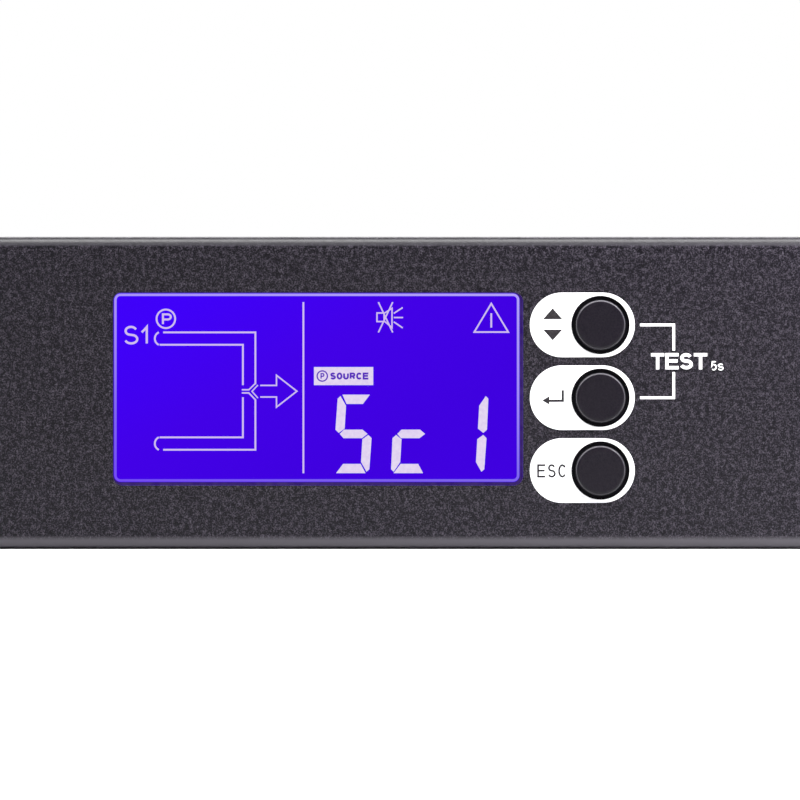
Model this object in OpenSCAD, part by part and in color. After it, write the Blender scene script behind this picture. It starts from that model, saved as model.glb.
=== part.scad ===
// Rack-mounted static transfer switch, one rack unit high.
// Millimetres. X runs to the right seen from the front, Y from front to rear, Z up.
// The origin is the middle of the underside of the case.

/* [Enclosure] */
// Outer width of the case between the rack ears
body_w = 438; // [432:1:446]
// Height of the case and of its front wall
body_h = 43.66; // [43.66:0.1:60]
// Depth of the case from the front face to the rear face
body_d = 232; // [216:1:400]
// Thickness of the folded steel sheet
sheet_t = 1.2; // [1:0.1:1.4]
// Inside radius of each fold
fold_r = 0.4; // [0.3:0.1:0.8]
// Gap between neighbouring parts of the case
seam = 0.15; // [0.1:0.05:0.3]
// Depth of the lip folded back from the top of the front wall
front_lip = 16; // [12:1:22]
// Depth of the lip folded in from the top of the rear wall
rear_lip = 12; // [10:1:14]
// Height of the upstands along the sides of the tray
side_lip = 14; // [12:1:18]
// Length of the tall upstand behind each rack ear
gusset_d = 56; // [50:1:80]

/* [Screws] */
// Shank diameter of the small screws
m3_d = 3; // [3:0.1:3]
// Shank diameter of the rack ear screws
m4_d = 4; // [4:0.1:4]
// Head diameter of the small countersunk screws
m3_flat_d = 5.2; // [5:0.1:5.6]
// Head diameter of the countersunk ear screws
m4_flat_d = 7.4; // [7:0.1:8]
// Head diameter of the low round-headed screws
pan_d = 5.4; // [5:0.1:5.8]
// Head height of the low round-headed screws
pan_h = 1.6; // [1.2:0.1:1.8]
// Clearance round the shank of every screw
screw_play = 0.1; // [0.1:0.05:0.2]
// Wall of the drawn collars that take the case screws
burr_wall = 1.2; // [1:0.1:1.4]
// Height of the drawn collars behind the sheet
burr_h = 1.4; // [1.2:0.1:1.6]
// Distance of the side screws from the front and rear corners
side_screw_inset = 14; // [13:1:18]
// Height of the cover's side screws above the underside
cover_screw_z = 7; // [6.5:0.1:8]
// Distance of the top rear screws from the rear face
cover_screw_inset = 6.5; // [5.5:0.1:7]
// Distance of the ear screws from the top and the underside
ear_screw_inset = 10; // [9:0.5:12]
// Spacing of the ear screws along the side
ear_screw_pitch = 20; // [16:1:22]

/* [Cover] */
// Width of each tongue at the front edge of the cover
tongue_w = 22; // [16:1:30]
// Reach of each tongue under the front lip
tongue_d = 7; // [4:1:9]
// Width of a ventilation slot
vent_w = 3; // [2:0.5:3.5]
// Length of a ventilation slot in the side walls
side_vent_h = 20; // [12:1:22]
// Spacing of the side ventilation slots
side_vent_pitch = 7; // [6:0.5:10]
// Number of side ventilation slots in each wall
side_vent_count = 14; // [6:1:14]
// Length of a ventilation slot in the top
top_vent_l = 34; // [20:1:44]
// Spacing of the top ventilation slots
top_vent_pitch = 7; // [6:0.5:10]
// Number of top ventilation slots over each heatsink
top_vent_count = 16; // [6:1:16]

/* [Rack ears] */
// Overall width over both rack ears
rack_w = 482.6; // [480:0.1:484]
// Thickness of the ear plate
ear_t = 2; // [1.8:0.1:2.5]
// Inside radius of the ear's fold
ear_fold_r = 0.8; // [0.4:0.1:1.2]
// Length of the ear along the side wall
ear_d = 46; // [40:1:50]
// Width between the rack screw centres
rack_hole_w = 465.1; // [464:0.1:466]
// Height between the rack screw centres
rack_hole_h = 31.75; // [31.75:0.01:32]
// Width of the rack screw slots
rack_slot_w = 6.8; // [6.4:0.1:7.2]
// Length of the rack screw slots
rack_slot_l = 10.5; // [8:0.1:11]

/* [Display] */
// Width of the clear display lens
lens_w = 56.7; // [50:0.1:60]
// Height of the clear display lens
lens_h = 26.4; // [22:0.1:27]
// Corner radius of the lens
lens_r = 1.1; // [0.6:0.1:2]
// Sideways place of the lens centre
lens_x = -14.13; // [-16:0.01:-12]
// Height of the lens centre above the underside
lens_z = 22.57; // [22:0.01:23]
// Spare width and height of the display window round the lens
lens_play = 0.55; // [0.2:0.05:0.8]
// Width of the glue flange round the back of the lens
lens_flange = 2.6; // [2:0.1:3]
// Thickness of the glue flange
lens_flange_t = 1; // [0.8:0.1:1.4]
// Thickness of the liquid crystal cell
cell_t = 2.2; // [1.8:0.1:2.6]
// Thickness of the backlight
backlight_t = 3; // [2.4:0.1:3.6]
// Margin of the display cell round the lens
cell_margin = 3.6; // [3:0.1:4]
// Thickness of every circuit board
board_t = 1.6; // [1.2:0.1:2]

/* [Keys] */
// Sideways place of the key column
key_x = 25.47; // [25:0.01:27]
// Height of the middle key above the underside
key_mid_z = 21.16; // [21:0.01:22]
// Spacing of the keys
key_pitch = 10.16; // [9.6:0.01:10.6]
// Diameter of the key holes in the front wall
key_hole_d = 8.15; // [7.9:0.05:8.4]
// Diameter of a key cap
key_d = 6.9; // [6.4:0.05:7]
// Edge radius of a key cap
key_edge_r = 0.4; // [0.2:0.05:0.6]
// Height of a key cap above the front wall
key_proud = 0.9; // [0.5:0.1:1.5]
// Travel of a key
key_travel = 0.4; // [0.2:0.05:0.5]
// Running clearance of a key in its collar
key_play = 0.1; // [0.06:0.01:0.15]
// Thickness of the key guide plate
guide_t = 1; // [0.8:0.1:1.2]
// Height of the switch housings
switch_h = 3.5; // [3.2:0.1:3.7]
// Radius of the switch plungers
plunger_r = 1.75; // [1.5:0.05:1.8]
// Running clearance of a plunger in its switch
plunger_play = 0.05; // [0.03:0.01:0.1]

/* [Print] */
// Thickness of the white print on the front wall
print_t = 0.05; // [0.03:0.01:0.1]
// Width of the white field round each key
field_w = 14.65; // [14:0.05:16]
// Height of the white field round each key
field_h = 9.02; // [8.8:0.01:9.4]
// Distance from the key to the middle of the field's round end
field_shift = 0.28; // [0:0.01:0.4]
// Line width of the printed bracket
rule_w = 0.38; // [0.3:0.01:0.6]
// Reach of the printed bracket
rule_reach = 4.9; // [4:0.1:6]
// Gap in the upright of the bracket for its words
rule_gap = 3; // [2:0.1:4]

/* [Inlets and outlets] */
// Height of the socket row above the underside
socket_z = 21.8; // [21.8:0.1:24]
// Distance from the left side wall to the first inlet
inlet_start = 40; // [38:1:44]
// Spacing of the two inlets
inlet_pitch = 62; // [60:1:66]
// Width of an inlet's recess
inlet_cav_w = 30.4; // [30:0.1:31]
// Height of an inlet's recess
inlet_cav_h = 22.8; // [22.4:0.1:23.4]
// Depth of an inlet's recess
inlet_cav_d = 19; // [17:0.5:20]
// Wall of the inlets and outlets
socket_wall = 1.6; // [1.2:0.1:1.8]
// Reach of the bezels beyond the socket bodies
bezel_rim = 1; // [0.7:0.1:1.6]
// Thickness of the bezels
bezel_t = 1.6; // [1.2:0.1:2]
// Spare room of a socket body in its cut-out
cut_play = 0.2; // [0.1:0.05:0.3]
// Thickness of the closed end of a socket body
socket_base = 5; // [4:0.5:7]
// Distance from the left side wall to the first outlet
outlet_start = 158.5; // [158:0.5:164]
// Spacing of the outlets
outlet_pitch = 25.4; // [25.2:0.1:26]
// Number of small outlets
outlet_count = 8; // [2:1:8]
// Width of the channel that takes a small plug's shroud, outside
outlet_chan_w = 20; // [19.8:0.1:20.2]
// Height of that channel, outside
outlet_chan_h = 28; // [27.6:0.1:28.4]
// Width of the contact block of a small outlet
outlet_core_w = 15.8; // [15:0.1:16]
// Height of the contact block of a small outlet
outlet_core_h = 23.6; // [23:0.1:24]
// Depth of the outlet channels
outlet_chan_d = 16; // [14:0.5:17]
// Channel width of the large outlet, outside
large_chan_w = 26.4; // [26:0.1:27]
// Channel height of the large outlet, outside
large_chan_h = 34; // [33.6:0.1:34.4]
// Contact block width of the large outlet
large_core_w = 22; // [21:0.1:22.4]
// Contact block height of the large outlet
large_core_h = 29.6; // [29:0.1:30]
// Length of the solder tabs behind the sockets
tab_l = 8; // [7:0.5:10]
// Thickness of the collecting bars
bar_t = 1; // [0.8:0.1:1.2]
// Width of the collecting bars
bar_w = 6; // [5:0.5:7]
// Height of an outlet's line contact above its middle
contact_rise = 7; // [6.5:0.1:7.5]
// Sideways offset of an outlet's contacts from its middle
contact_shift = 2; // [1.5:0.1:2.5]
// Reach of the bars beyond the first outlet's middle
bar_left_reach = 6; // [5.5:0.5:8]
// Reach of the bars beyond the large outlet's middle
bar_right_reach = 8; // [8:0.5:10]

/* [Breakers and ports] */
// Distance from an inlet to the breaker beside it
breaker_shift = 31; // [30:0.5:33]
// Width of a breaker's body
breaker_w = 14; // [13.5:0.5:15]
// Height of a breaker's body
breaker_h = 26; // [24:0.5:28]
// Depth of a breaker's body behind the wall
breaker_d = 30; // [28:0.5:32]
// Distance of a breaker's tabs from its middle
breaker_tab_rise = 8; // [7:0.5:9]
// Corner radius of the breakers' nuts
nut_r = 8; // [7.5:0.1:8.4]
// Height of the breakers' nuts
nut_h = 2.6; // [2:0.1:3]
// Diameter of the breaker's threaded neck
neck_d = 11; // [10:0.5:12]
// Length of the neck outside the rear wall
neck_out = 5; // [4:0.5:7]
// Diameter of the reset button
reset_d = 7; // [6:0.5:8]
// Running clearance of the reset button
reset_play = 0.1; // [0.05:0.01:0.15]
// Height of the reset button above its neck when set
reset_proud = 1.6; // [1:0.1:3]
// Travel of the reset button when the breaker trips
reset_travel = 4; // [3:0.5:5]
// Distance from the right side wall to the ports
port_inset = 24; // [22:0.5:28]
// Height of the serial port above the underside
serial_z = 30; // [29:0.5:32]
// Height of the USB port above the underside
usb_z = 12; // [11:0.5:14]
// Width of the serial port's nose
serial_w = 18; // [17:0.1:18.4]
// Height of the serial port's nose
serial_h = 9.4; // [9:0.1:10]
// Reach of the serial port's nose beyond the rear face
serial_nose = 5.5; // [5:0.5:6]
// Width of the serial port's flange
serial_flange_w = 30.8; // [30:0.1:31]
// Height of the serial port's flange
serial_flange_h = 12.5; // [12:0.1:13]
// Width between the serial port's screws
serial_screw_w = 25; // [24.8:0.1:25.2]
// Spacing of the serial port's contacts
contact_pitch = 2.77; // [2.7:0.01:2.8]
// Width of the USB port
usb_w = 12; // [12:0.1:12.4]
// Height of the USB port
usb_h = 11; // [10.6:0.1:11.2]
// Diameter of the earth stud
earth_d = 5; // [4:0.5:6]

/* [Power board] */
// Distance from the front face to the power board
front_bay = 36; // [32:1:44]
// Distance from the power board to the rear face
rear_bay = 62; // [60:1:66]
// Side margin of the power board inside the side walls
board_side = 24; // [20:1:40]
// Height of the standoffs under the power board
standoff_h = 6.5; // [5:0.5:8]
// Width across flats of the standoffs
standoff_af = 5.5; // [5:0.5:6]
// Thickness of the insulating sheet on the floor
liner_t = 0.5; // [0.3:0.1:1]
// Length of each heatsink
sink_l = 128; // [110:1:140]
// Height of each heatsink
sink_h = 28; // [24:1:29]
// Depth of the heatsink fins
fin_d = 18; // [12:1:20]
// Thickness of a fin
fin_t = 1.5; // [1.2:0.1:2]
// Number of fins
fin_count = 6; // [4:1:6]
// Thickness of the heatsink's back
sink_back_t = 4; // [3:0.5:6]
// Distance from the rear edge of the board to the thyristors' side of the heatsinks
sink_inset = 44; // [42:1:46]
// Sideways distance of the heatsinks from the middle
sink_x = 92; // [86:1:100]
// Spacing of the thyristors on a heatsink
thyristor_pitch = 30; // [22:1:32]
// Width of a thyristor
thyristor_w = 15.9; // [15:0.1:16]
// Thickness of a thyristor
thyristor_t = 5; // [4.6:0.1:5.2]
// Height of a thyristor's body
thyristor_h = 20.8; // [20:0.1:21]
// Gap between a thyristor's body and the board
thyristor_gap = 5; // [4:0.5:6]
// Spacing of a thyristor's legs
leg_pitch = 5.4; // [5:0.1:5.5]
// Reach of the thyristor screws into the heatsink
thyristor_thread = 3; // [2:0.1:3.2]
// Distance from the rear edge of the board to the relays
relay_inset = 26; // [24:1:30]
// Sideways distance of each relay from the middle of its heatsink
relay_shift = 19; // [18:1:24]
// Length of a relay
relay_l = 29; // [28:0.1:30]
// Width of a relay
relay_w = 12.7; // [12:0.1:13]
// Height of a relay
relay_h = 25; // [20:0.5:26]
// Distance from the side edge of the board to a transformer
transformer_inset = 34; // [30:1:40]
// Length of a transformer's core
core_l = 32; // [28:0.5:34]
// Width of a transformer's core
core_w = 16; // [14:0.5:18]
// Height of a transformer's core
core_h = 27; // [22:0.5:28]
// Diameter of a capacitor
capacitor_d = 16; // [12:0.5:16]
// Height of a capacitor
capacitor_h = 26; // [20:0.5:28]
// Radius of an insulated wire
wire_r = 1.6; // [1.2:0.1:1.8]
// Bend radius of the wires
wire_bend = 4; // [3:0.5:5]

/* [Hidden] */
$fn = 48;

eps = 0.01;
fold_out = fold_r + sheet_t;
front_y = -body_d / 2;
rear_y = body_d / 2;
front_in = front_y + sheet_t;
rear_in = rear_y - sheet_t;
side_x = body_w / 2;
tray_x = side_x - sheet_t - seam;
inner_x = tray_x - sheet_t;
relief = 1;
side_y0 = front_y + fold_out + relief;
side_y1 = rear_y - fold_out - relief;
roof_z = body_h - sheet_t;
cover_y0 = front_y + front_lip + seam;
tongue_drop = 0.1;

// Screws: shanks, heads and places
m3_r = m3_d / 2;
m4_r = m4_d / 2;
m3_flat_r = m3_flat_d / 2;
m4_flat_r = m4_flat_d / 2;
pan_r = pan_d / 2;
cover_screw_xs = [-0.42, 0, 0.42] * body_w;
cover_screw_ys = [front_y + 0.39 * body_d, front_y + 0.655 * body_d, rear_y - side_screw_inset];
ear_screw_ys = [front_y + 16, front_y + 16 + ear_screw_pitch];
ear_screw_zs = [ear_screw_inset, body_h - ear_screw_inset];
tongue_xs = [-0.38, -0.14, 0.14, 0.38] * body_w;

// Places of the rear parts
inlet_xs = [-tray_x + inlet_start, -tray_x + inlet_start + inlet_pitch];
breaker_xs = [inlet_xs[0] + breaker_shift, inlet_xs[1] + breaker_shift];
outlet_xs = [for (i = [0:outlet_count - 1]) -tray_x + outlet_start + i * outlet_pitch];
large_x = outlet_xs[outlet_count - 1] + outlet_pitch / 2 + large_chan_w / 2 + socket_wall + bezel_rim + 1;
port_x = tray_x - port_inset;
earth_x = -tray_x + 10;
earth_z = 12;

// Places of the keys and the display
key_zs = [key_mid_z + key_pitch, key_mid_z, key_mid_z - key_pitch];
lens_gap = 0.1;
window_x = lens_x + lens_play / 2 - lens_gap;
window_z = lens_z - lens_play / 2 + lens_gap;
cell_y = front_in + lens_flange_t;
backlight_y = cell_y + cell_t;
panel_board_y = backlight_y + backlight_t;
guide_y1 = front_in + guide_t;
key_flange_t = 0.8;
key_flange_y0 = guide_y1 + 0.05;
key_flange_y1 = key_flange_y0 + key_flange_t;
panel_board_x0 = lens_x - lens_w / 2 - 10;
panel_board_x1 = key_x + 12.5;
panel_board_z0 = 3;
panel_board_z1 = body_h - 3.2;
panel_screw_xs = [panel_board_x0 + 3, panel_board_x1 - 3];
panel_screw_zs = [panel_board_z0 + 3, panel_board_z1 - 3];

// Places of the power parts
liner_z1 = sheet_t + liner_t;
pcb_z0 = sheet_t + standoff_h;
pcb_z1 = pcb_z0 + board_t;
pcb_y0 = front_y + front_bay;
pcb_y1 = rear_y - rear_bay;
pcb_x = tray_x - board_side;
standoff_xs = [-pcb_x + 6, -pcb_x / 3, pcb_x / 3, pcb_x - 6];
standoff_ys = [pcb_y0 + 6, pcb_y1 - 6];
sink_y1 = pcb_y1 - sink_inset;
sink_y0 = sink_y1 - sink_back_t;
sink_xs = [-sink_x, sink_x];
thyristor_ps = [for (s = sink_xs, i = [-1.5:1:1.5]) s + i * thyristor_pitch];
thyristor_z0 = pcb_z1 + thyristor_gap;
thyristor_hole_z = thyristor_z0 + 0.72 * thyristor_h;

// A flat profile in Y and Z, drawn out along X about the middle
module along_x(width, x0 = undef) {
    start = is_undef(x0) ? -width / 2 : x0;
    translate([start, 0, 0]) rotate([90, 0, 90]) linear_extrude(width) children();
}

// A flat profile in X and Z, drawn out along Y from y0 to y1
module along_y(y0, y1) {
    translate([0, y1, 0]) rotate([90, 0, 0]) linear_extrude(y1 - y0) children();
}

// A round bar along Y
module rod_y(x, z, y0, y1, r) {
    translate([x, y0, z]) rotate([-90, 0, 0]) cylinder(r = r, h = y1 - y0);
}

// A rectangle with round corners about the origin
module round_rect(w, h, r) {
    square([w - 2 * r, h], center = true);
    square([w, h - 2 * r], center = true);
    for (sx = [-1, 1], sy = [-1, 1]) {
        translate([sx * (w / 2 - r), sy * (h / 2 - r)]) circle(r);
    }
}

// A quarter of a sheet fold; at turn 0 it fills the upper right quadrant
module quarter_fold(turn, r_in = fold_r, t = sheet_t) {
    rotate(turn) intersection() {
        difference() {
            circle(r_in + t);
            circle(r_in);
        }
        square(r_in + t);
    }
}

// The corners of a rectangle
module at_corners(xs, ys) {
    for (x = xs, y = ys) translate([x, y, 0]) children();
}

// ---------------------------------------------------------------- case

// Front lip, top fold, front wall and bottom fold in section
module front_section() {
    translate([front_y + fold_out, roof_z]) square([front_lip - fold_out, sheet_t]);
    translate([front_y + fold_out, body_h - fold_out]) quarter_fold(90);
    translate([front_y, fold_out]) square([sheet_t, body_h - 2 * fold_out]);
    translate([front_y + fold_out, fold_out]) quarter_fold(180);
}

// The floor with both its folds and walls in section
module tray_section() {
    front_section();
    translate([front_y + fold_out - eps, 0]) square([body_d - 2 * fold_out + 2 * eps, sheet_t]);
    rear_wall_section();
}

// Bottom fold and rear wall in section
module rear_wall_section() {
    translate([rear_y - fold_out, fold_out]) quarter_fold(270);
    translate([rear_in, fold_out]) square([sheet_t, roof_z - 2 * fold_out]);
}

// Fold at the top of the rear wall and the lip in from it, in section
module rear_lip_section() {
    translate([rear_in, roof_z - 3 * fold_out]) square([sheet_t, 2 * fold_out]);
    translate([rear_y - fold_out, roof_z - fold_out]) quarter_fold(0);
    translate([rear_y - rear_lip, roof_z - sheet_t]) square([rear_lip - fold_out, sheet_t]);
}

// One upstand along the side of the tray, with its fold and some of the floor, on the right
module side_section(top_z) {
    translate([tray_x - 3 * fold_out, 0]) square([2 * fold_out, sheet_t]);
    translate([tray_x - fold_out, fold_out]) quarter_fold(270);
    translate([inner_x, fold_out]) square([sheet_t, top_z - fold_out]);
}

// A hole for a screw, drilled through sheet along X at either side
module side_holes(ys, zs, r) {
    for (y = ys, z = zs) {
        translate([-body_w, y, z]) rotate([0, 90, 0]) cylinder(r = r, h = 2 * body_w);
    }
}

// The pierced and drawn collars that take the side screws
module side_burrs(ys, zs, r) {
    for (side = [0, 1], y = ys, z = zs) {
        mirror([side, 0, 0]) translate([inner_x - burr_h, y, z]) rotate([0, 90, 0])
            cylinder(r = r + burr_wall, h = burr_h + sheet_t / 2);
    }
}

module front_cutouts() {
    translate([window_x, front_y - 1, window_z]) rotate([-90, 0, 0])
        linear_extrude(sheet_t + 2)
            round_rect(lens_w + lens_play, lens_h + lens_play, lens_r + lens_play / 4);
    for (z = key_zs) rod_y(key_x, z, front_y - 1, front_in + 1, key_hole_d / 2);
}

// A socket's cut-out in the rear wall
module socket_cut(x, w, h) {
    translate([x, rear_in - 1, socket_z]) rotate([-90, 0, 0])
        linear_extrude(sheet_t + 2) round_rect(w + 2 * cut_play, h + 2 * cut_play, 1.6);
}

module rear_cutouts() {
    for (x = inlet_xs) socket_cut(x, inlet_body_w, inlet_body_h);
    for (x = outlet_xs) socket_cut(x, outlet_body_w, outlet_body_h);
    socket_cut(large_x, large_body_w, large_body_h);
    for (x = breaker_xs) rod_y(x, socket_z, rear_in - 1, rear_y + 1, neck_d / 2 + cut_play);
    rod_y(earth_x, earth_z, rear_in - 1, rear_y + 1, earth_r + screw_play);
    translate([port_x, rear_y + 1, serial_z]) rotate([90, 0, 0])
        linear_extrude(sheet_t + 2) d_outline(serial_w + 2 * cut_play, serial_h + 2 * cut_play);
    for (side = [-1, 1]) {
        rod_y(port_x + side * serial_screw_x, serial_z, rear_in - 1, rear_y + 1, serial_screw_r + screw_play);
    }
    translate([port_x, rear_in - 1, usb_z]) rotate([-90, 0, 0])
        linear_extrude(sheet_t + 2) square([usb_w + 2 * cut_play, usb_h + 2 * cut_play], center = true);
}

// Floor, front wall, rear wall and upstands folded from one sheet
module base_tray() {
    color("#36343a") difference() {
        union() {
            along_x(2 * (tray_x - fold_out)) tray_section();
            along_x(body_w) front_section();
            along_x(2 * tray_x) rear_wall_section();
            along_x(2 * (tray_x - fold_r)) rear_lip_section();
            for (side = [0, 1]) mirror([side, 0, 0]) {
                along_y(side_y0, side_y1) side_section(side_lip);
                along_y(side_y0, side_y0 + gusset_d) side_section(roof_z - seam);
            }
            side_burrs(ear_screw_ys, ear_screw_zs, m4_r);
            side_burrs(cover_screw_ys, [cover_screw_z], m3_r);
            for (x = cover_screw_xs) {
                translate([x, rear_y - cover_screw_inset, roof_z - sheet_t - burr_h])
                    cylinder(r = m3_r + burr_wall, h = burr_h + sheet_t / 2);
            }
        }
        front_cutouts();
        rear_cutouts();
        side_holes(ear_screw_ys, ear_screw_zs, m4_r + screw_play);
        side_holes(cover_screw_ys, [cover_screw_z], m3_r + screw_play);
        for (x = cover_screw_xs) {
            translate([x, rear_y - cover_screw_inset, roof_z - sheet_t - burr_h - 1])
                cylinder(r = m3_r + screw_play, h = burr_h + sheet_t + 2);
        }
    }
}

// Side wall of the cover in section, on the right
module cover_side_section(top_z) {
    translate([side_x - sheet_t, 0]) square([sheet_t, top_z]);
}

// Roof, folds and side walls of the cover in section
module cover_section() {
    translate([-side_x + fold_out, roof_z]) square([body_w - 2 * fold_out, sheet_t]);
    for (side = [0, 1]) mirror([side, 0]) {
        translate([side_x - fold_out, body_h - fold_out]) quarter_fold(0);
        cover_side_section(body_h - fold_out);
    }
}

// One slot with round ends, lying along X at the origin
module slot_shape(l, w) {
    square([l - w, w], center = true);
    for (side = [-1, 1]) translate([side * (l - w) / 2, 0]) circle(w / 2);
}

module side_vents() {
    first_y = rear_y - 24 - (side_vent_count - 1) * side_vent_pitch;
    for (i = [0:side_vent_count - 1]) {
        translate([-body_w, first_y + i * side_vent_pitch, side_lip + 3 + side_vent_h / 2])
            rotate([90, 0, 90]) linear_extrude(2 * body_w)
                rotate(90) slot_shape(side_vent_h, vent_w);
    }
}

module top_vents() {
    for (cx = sink_xs, i = [0:top_vent_count - 1]) {
        translate([cx + (i - (top_vent_count - 1) / 2) * top_vent_pitch, sink_y0 - fin_d / 2, roof_z - 1])
            linear_extrude(sheet_t + 2) rotate(90) slot_shape(top_vent_l, vent_w);
    }
}

// A step down from the roof and a tongue that slips under the front lip
module tongue(x) {
    top_z = roof_z - tongue_drop;
    translate([x - tongue_w / 2, cover_y0, top_z - sheet_t]) cube([tongue_w, 3, 2 * sheet_t]);
    translate([x - tongue_w / 2, cover_y0 - tongue_d, top_z - sheet_t])
        cube([tongue_w, tongue_d + 1, sheet_t]);
}

// Roof and side walls folded from one sheet
module top_cover() {
    color("#35343a") difference() {
        union() {
            along_y(cover_y0, rear_y) cover_section();
            for (side = [0, 1]) mirror([side, 0, 0]) {
                along_y(front_y + fold_out + seam, cover_y0 + fold_out) cover_side_section(roof_z - seam);
            }
            for (x = tongue_xs) tongue(x);
        }
        side_vents();
        top_vents();
        side_holes(ear_screw_ys, ear_screw_zs, m4_r + screw_play);
        side_holes(cover_screw_ys, [cover_screw_z], m3_r + screw_play);
        for (x = cover_screw_xs) {
            translate([x, rear_y - cover_screw_inset, body_h]) flat_head_hole(m3_r, m3_flat_r, 3);
        }
    }
}

// A countersunk screw under the origin, head up
module flat_head(r, head_r, l) {
    cone_h = head_r - r;
    translate([0, 0, -l]) cylinder(r = r, h = l - cone_h + eps);
    translate([0, 0, -cone_h]) cylinder(r1 = r, r2 = head_r, h = cone_h);
}

// The countersunk hole for such a screw
module flat_head_hole(r, head_r, l) {
    cone_h = head_r - r;
    translate([0, 0, -l]) cylinder(r = r + screw_play, h = l);
    translate([0, 0, -cone_h]) cylinder(r1 = r + screw_play, r2 = head_r + screw_play, h = cone_h + eps);
    cylinder(r = head_r + screw_play, h = 1);
}

// A low round-headed screw; its head stands on the origin, its shank hangs below
module pan_screw(r, head_r, head_h, l) {
    difference() {
        union() {
            cylinder(r = head_r, h = head_h);
            translate([0, 0, -l]) cylinder(r = r, h = l + eps);
        }
        cross_recess(head_h, head_r);
    }
}

// The cross recess in the top of a screw head
module cross_recess(head_h, head_r) {
    for (turn = [0, 90]) rotate(turn) {
        translate([-head_r * 0.5, -head_r * 0.11, head_h * 0.45]) cube([head_r, head_r * 0.22, head_h]);
    }
}

module cover_screws() {
    color("#26262a") {
        for (x = cover_screw_xs) translate([x, rear_y - cover_screw_inset, body_h]) difference() {
            flat_head(m3_r, m3_flat_r, 2 * sheet_t + burr_h);
            translate([0, 0, -0.5]) cross_recess(0.5, m3_flat_r);
        }
        for (side = [0, 1], y = cover_screw_ys) mirror([side, 0, 0]) {
            translate([side_x, y, cover_screw_z]) rotate([0, 90, 0])
                pan_screw(m3_r, pan_r, pan_h, 2 * sheet_t + seam + burr_h);
        }
    }
}

// Rack ear: a plate folded from the front flange back along the side wall
module rack_ear() {
    ear_out = ear_fold_r + ear_t;
    tip_x = rack_w / 2;
    difference() {
        linear_extrude(body_h) {
            translate([side_x + ear_out, front_y]) square([tip_x - side_x - ear_out, ear_t]);
            translate([side_x + ear_out, front_y + ear_out]) quarter_fold(180, ear_fold_r, ear_t);
            translate([side_x, front_y + ear_out]) square([ear_t, ear_d - ear_out]);
        }
        for (side = [-1, 1]) {
            translate([rack_hole_w / 2, front_y - 1, body_h / 2 + side * rack_hole_h / 2]) rotate([-90, 0, 0])
                linear_extrude(ear_t + 2) slot_shape(rack_slot_l, rack_slot_w);
        }
        for (y = ear_screw_ys, z = ear_screw_zs) {
            translate([side_x + ear_t, y, z]) rotate([0, 90, 0]) flat_head_hole(m4_r, m4_flat_r, 4);
        }
    }
}

module rack_ear_right() {
    color("#36343a") rack_ear();
}

module rack_ear_left() {
    color("#36343a") mirror([1, 0, 0]) rack_ear();
}

module ear_screws() {
    color("#26262a") for (side = [0, 1], y = ear_screw_ys, z = ear_screw_zs) mirror([side, 0, 0]) {
        translate([side_x + ear_t, y, z]) rotate([0, 90, 0]) difference() {
            flat_head(m4_r, m4_flat_r, ear_t + 2 * sheet_t + burr_h);
            translate([0, 0, -0.8]) cross_recess(0.8, m4_flat_r);
        }
    }
}

// ---------------------------------------------------------------- display and keys

// White ink: a field round each key and the bracket that joins the upper two
module panel_print() {
    rule_x = key_x + field_shift + field_h / 2 + 0.72;
    color("white") translate([0, front_y, 0]) rotate([90, 0, 0]) linear_extrude(print_t) {
        for (z = key_zs) translate([key_x, z]) difference() {
            translate([field_shift + (field_h - field_w) / 2, 0]) slot_shape(field_w, field_h);
            circle(key_hole_d / 2);
        }
        for (side = [-1, 1]) {
            translate([rule_x, key_mid_z + key_pitch / 2]) bracket_half(side);
        }
    }
}

// One half of the bracket: an arm towards the key and a piece of the upright
module bracket_half(side) {
    half = key_pitch / 2 + rule_w / 2;
    mirror([0, side < 0 ? 1 : 0]) {
        translate([0, half - rule_w]) square([rule_reach, rule_w]);
        translate([rule_reach - rule_w, rule_gap / 2]) square([rule_w, half - rule_gap / 2]);
    }
}

// Clear window: a block that fills the opening and a glue flange behind it
module display_lens() {
    flange_w = lens_w + 2 * lens_flange;
    flange_h = lens_h + 2 * lens_flange;
    color("#8fa0d8", 0.5) translate([lens_x, 0, lens_z]) {
        translate([0, front_in, 0]) rotate([-90, 0, 0])
            linear_extrude(lens_flange_t) round_rect(flange_w, flange_h, lens_r);
        translate([0, front_y + print_t, 0]) rotate([-90, 0, 0])
            linear_extrude(sheet_t - print_t + eps) round_rect(lens_w, lens_h, lens_r);
    }
}

cell_w = lens_w + 2 * cell_margin;
cell_h = lens_h + 2 * cell_margin;

// Liquid crystal cell: two glass plates, the front one with a contact ledge
module display_cell() {
    ledge = 2;
    color("#4306e4") translate([lens_x, 0, lens_z]) {
        translate([-cell_w / 2, cell_y, -cell_h / 2 + ledge]) cube([cell_w, cell_t / 2, cell_h - ledge]);
        translate([-cell_w / 2, cell_y + cell_t / 2, -cell_h / 2]) cube([cell_w, cell_t / 2, cell_h]);
    }
}

// Moulded light box behind the cell, with pegs that locate it on the board
module display_backlight() {
    color("#e8e8ee") translate([lens_x, 0, lens_z]) {
        translate([-cell_w / 2, backlight_y, -cell_h / 2]) cube([cell_w, backlight_t, cell_h]);
        for (x = [-0.4, 0.4] * cell_w) {
            translate([x, panel_board_y - eps, 0]) rotate([-90, 0, 0]) cylinder(r = 0.9, h = board_t + 0.4);
        }
    }
}

// Board behind the display and the keys
module display_board() {
    color("#1d5c34") difference() {
        translate([panel_board_x0, panel_board_y, panel_board_z0])
            cube([panel_board_x1 - panel_board_x0, board_t, panel_board_z1 - panel_board_z0]);
        for (x = panel_screw_xs, z = panel_screw_zs) {
            rod_y(x, z, panel_board_y - 1, panel_board_y + board_t + 1, m3_r + screw_play);
        }
        for (x = [-0.4, 0.4] * cell_w) {
            rod_y(lens_x + x, lens_z, panel_board_y - 1, panel_board_y + board_t + 1, 1);
        }
    }
}

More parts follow.
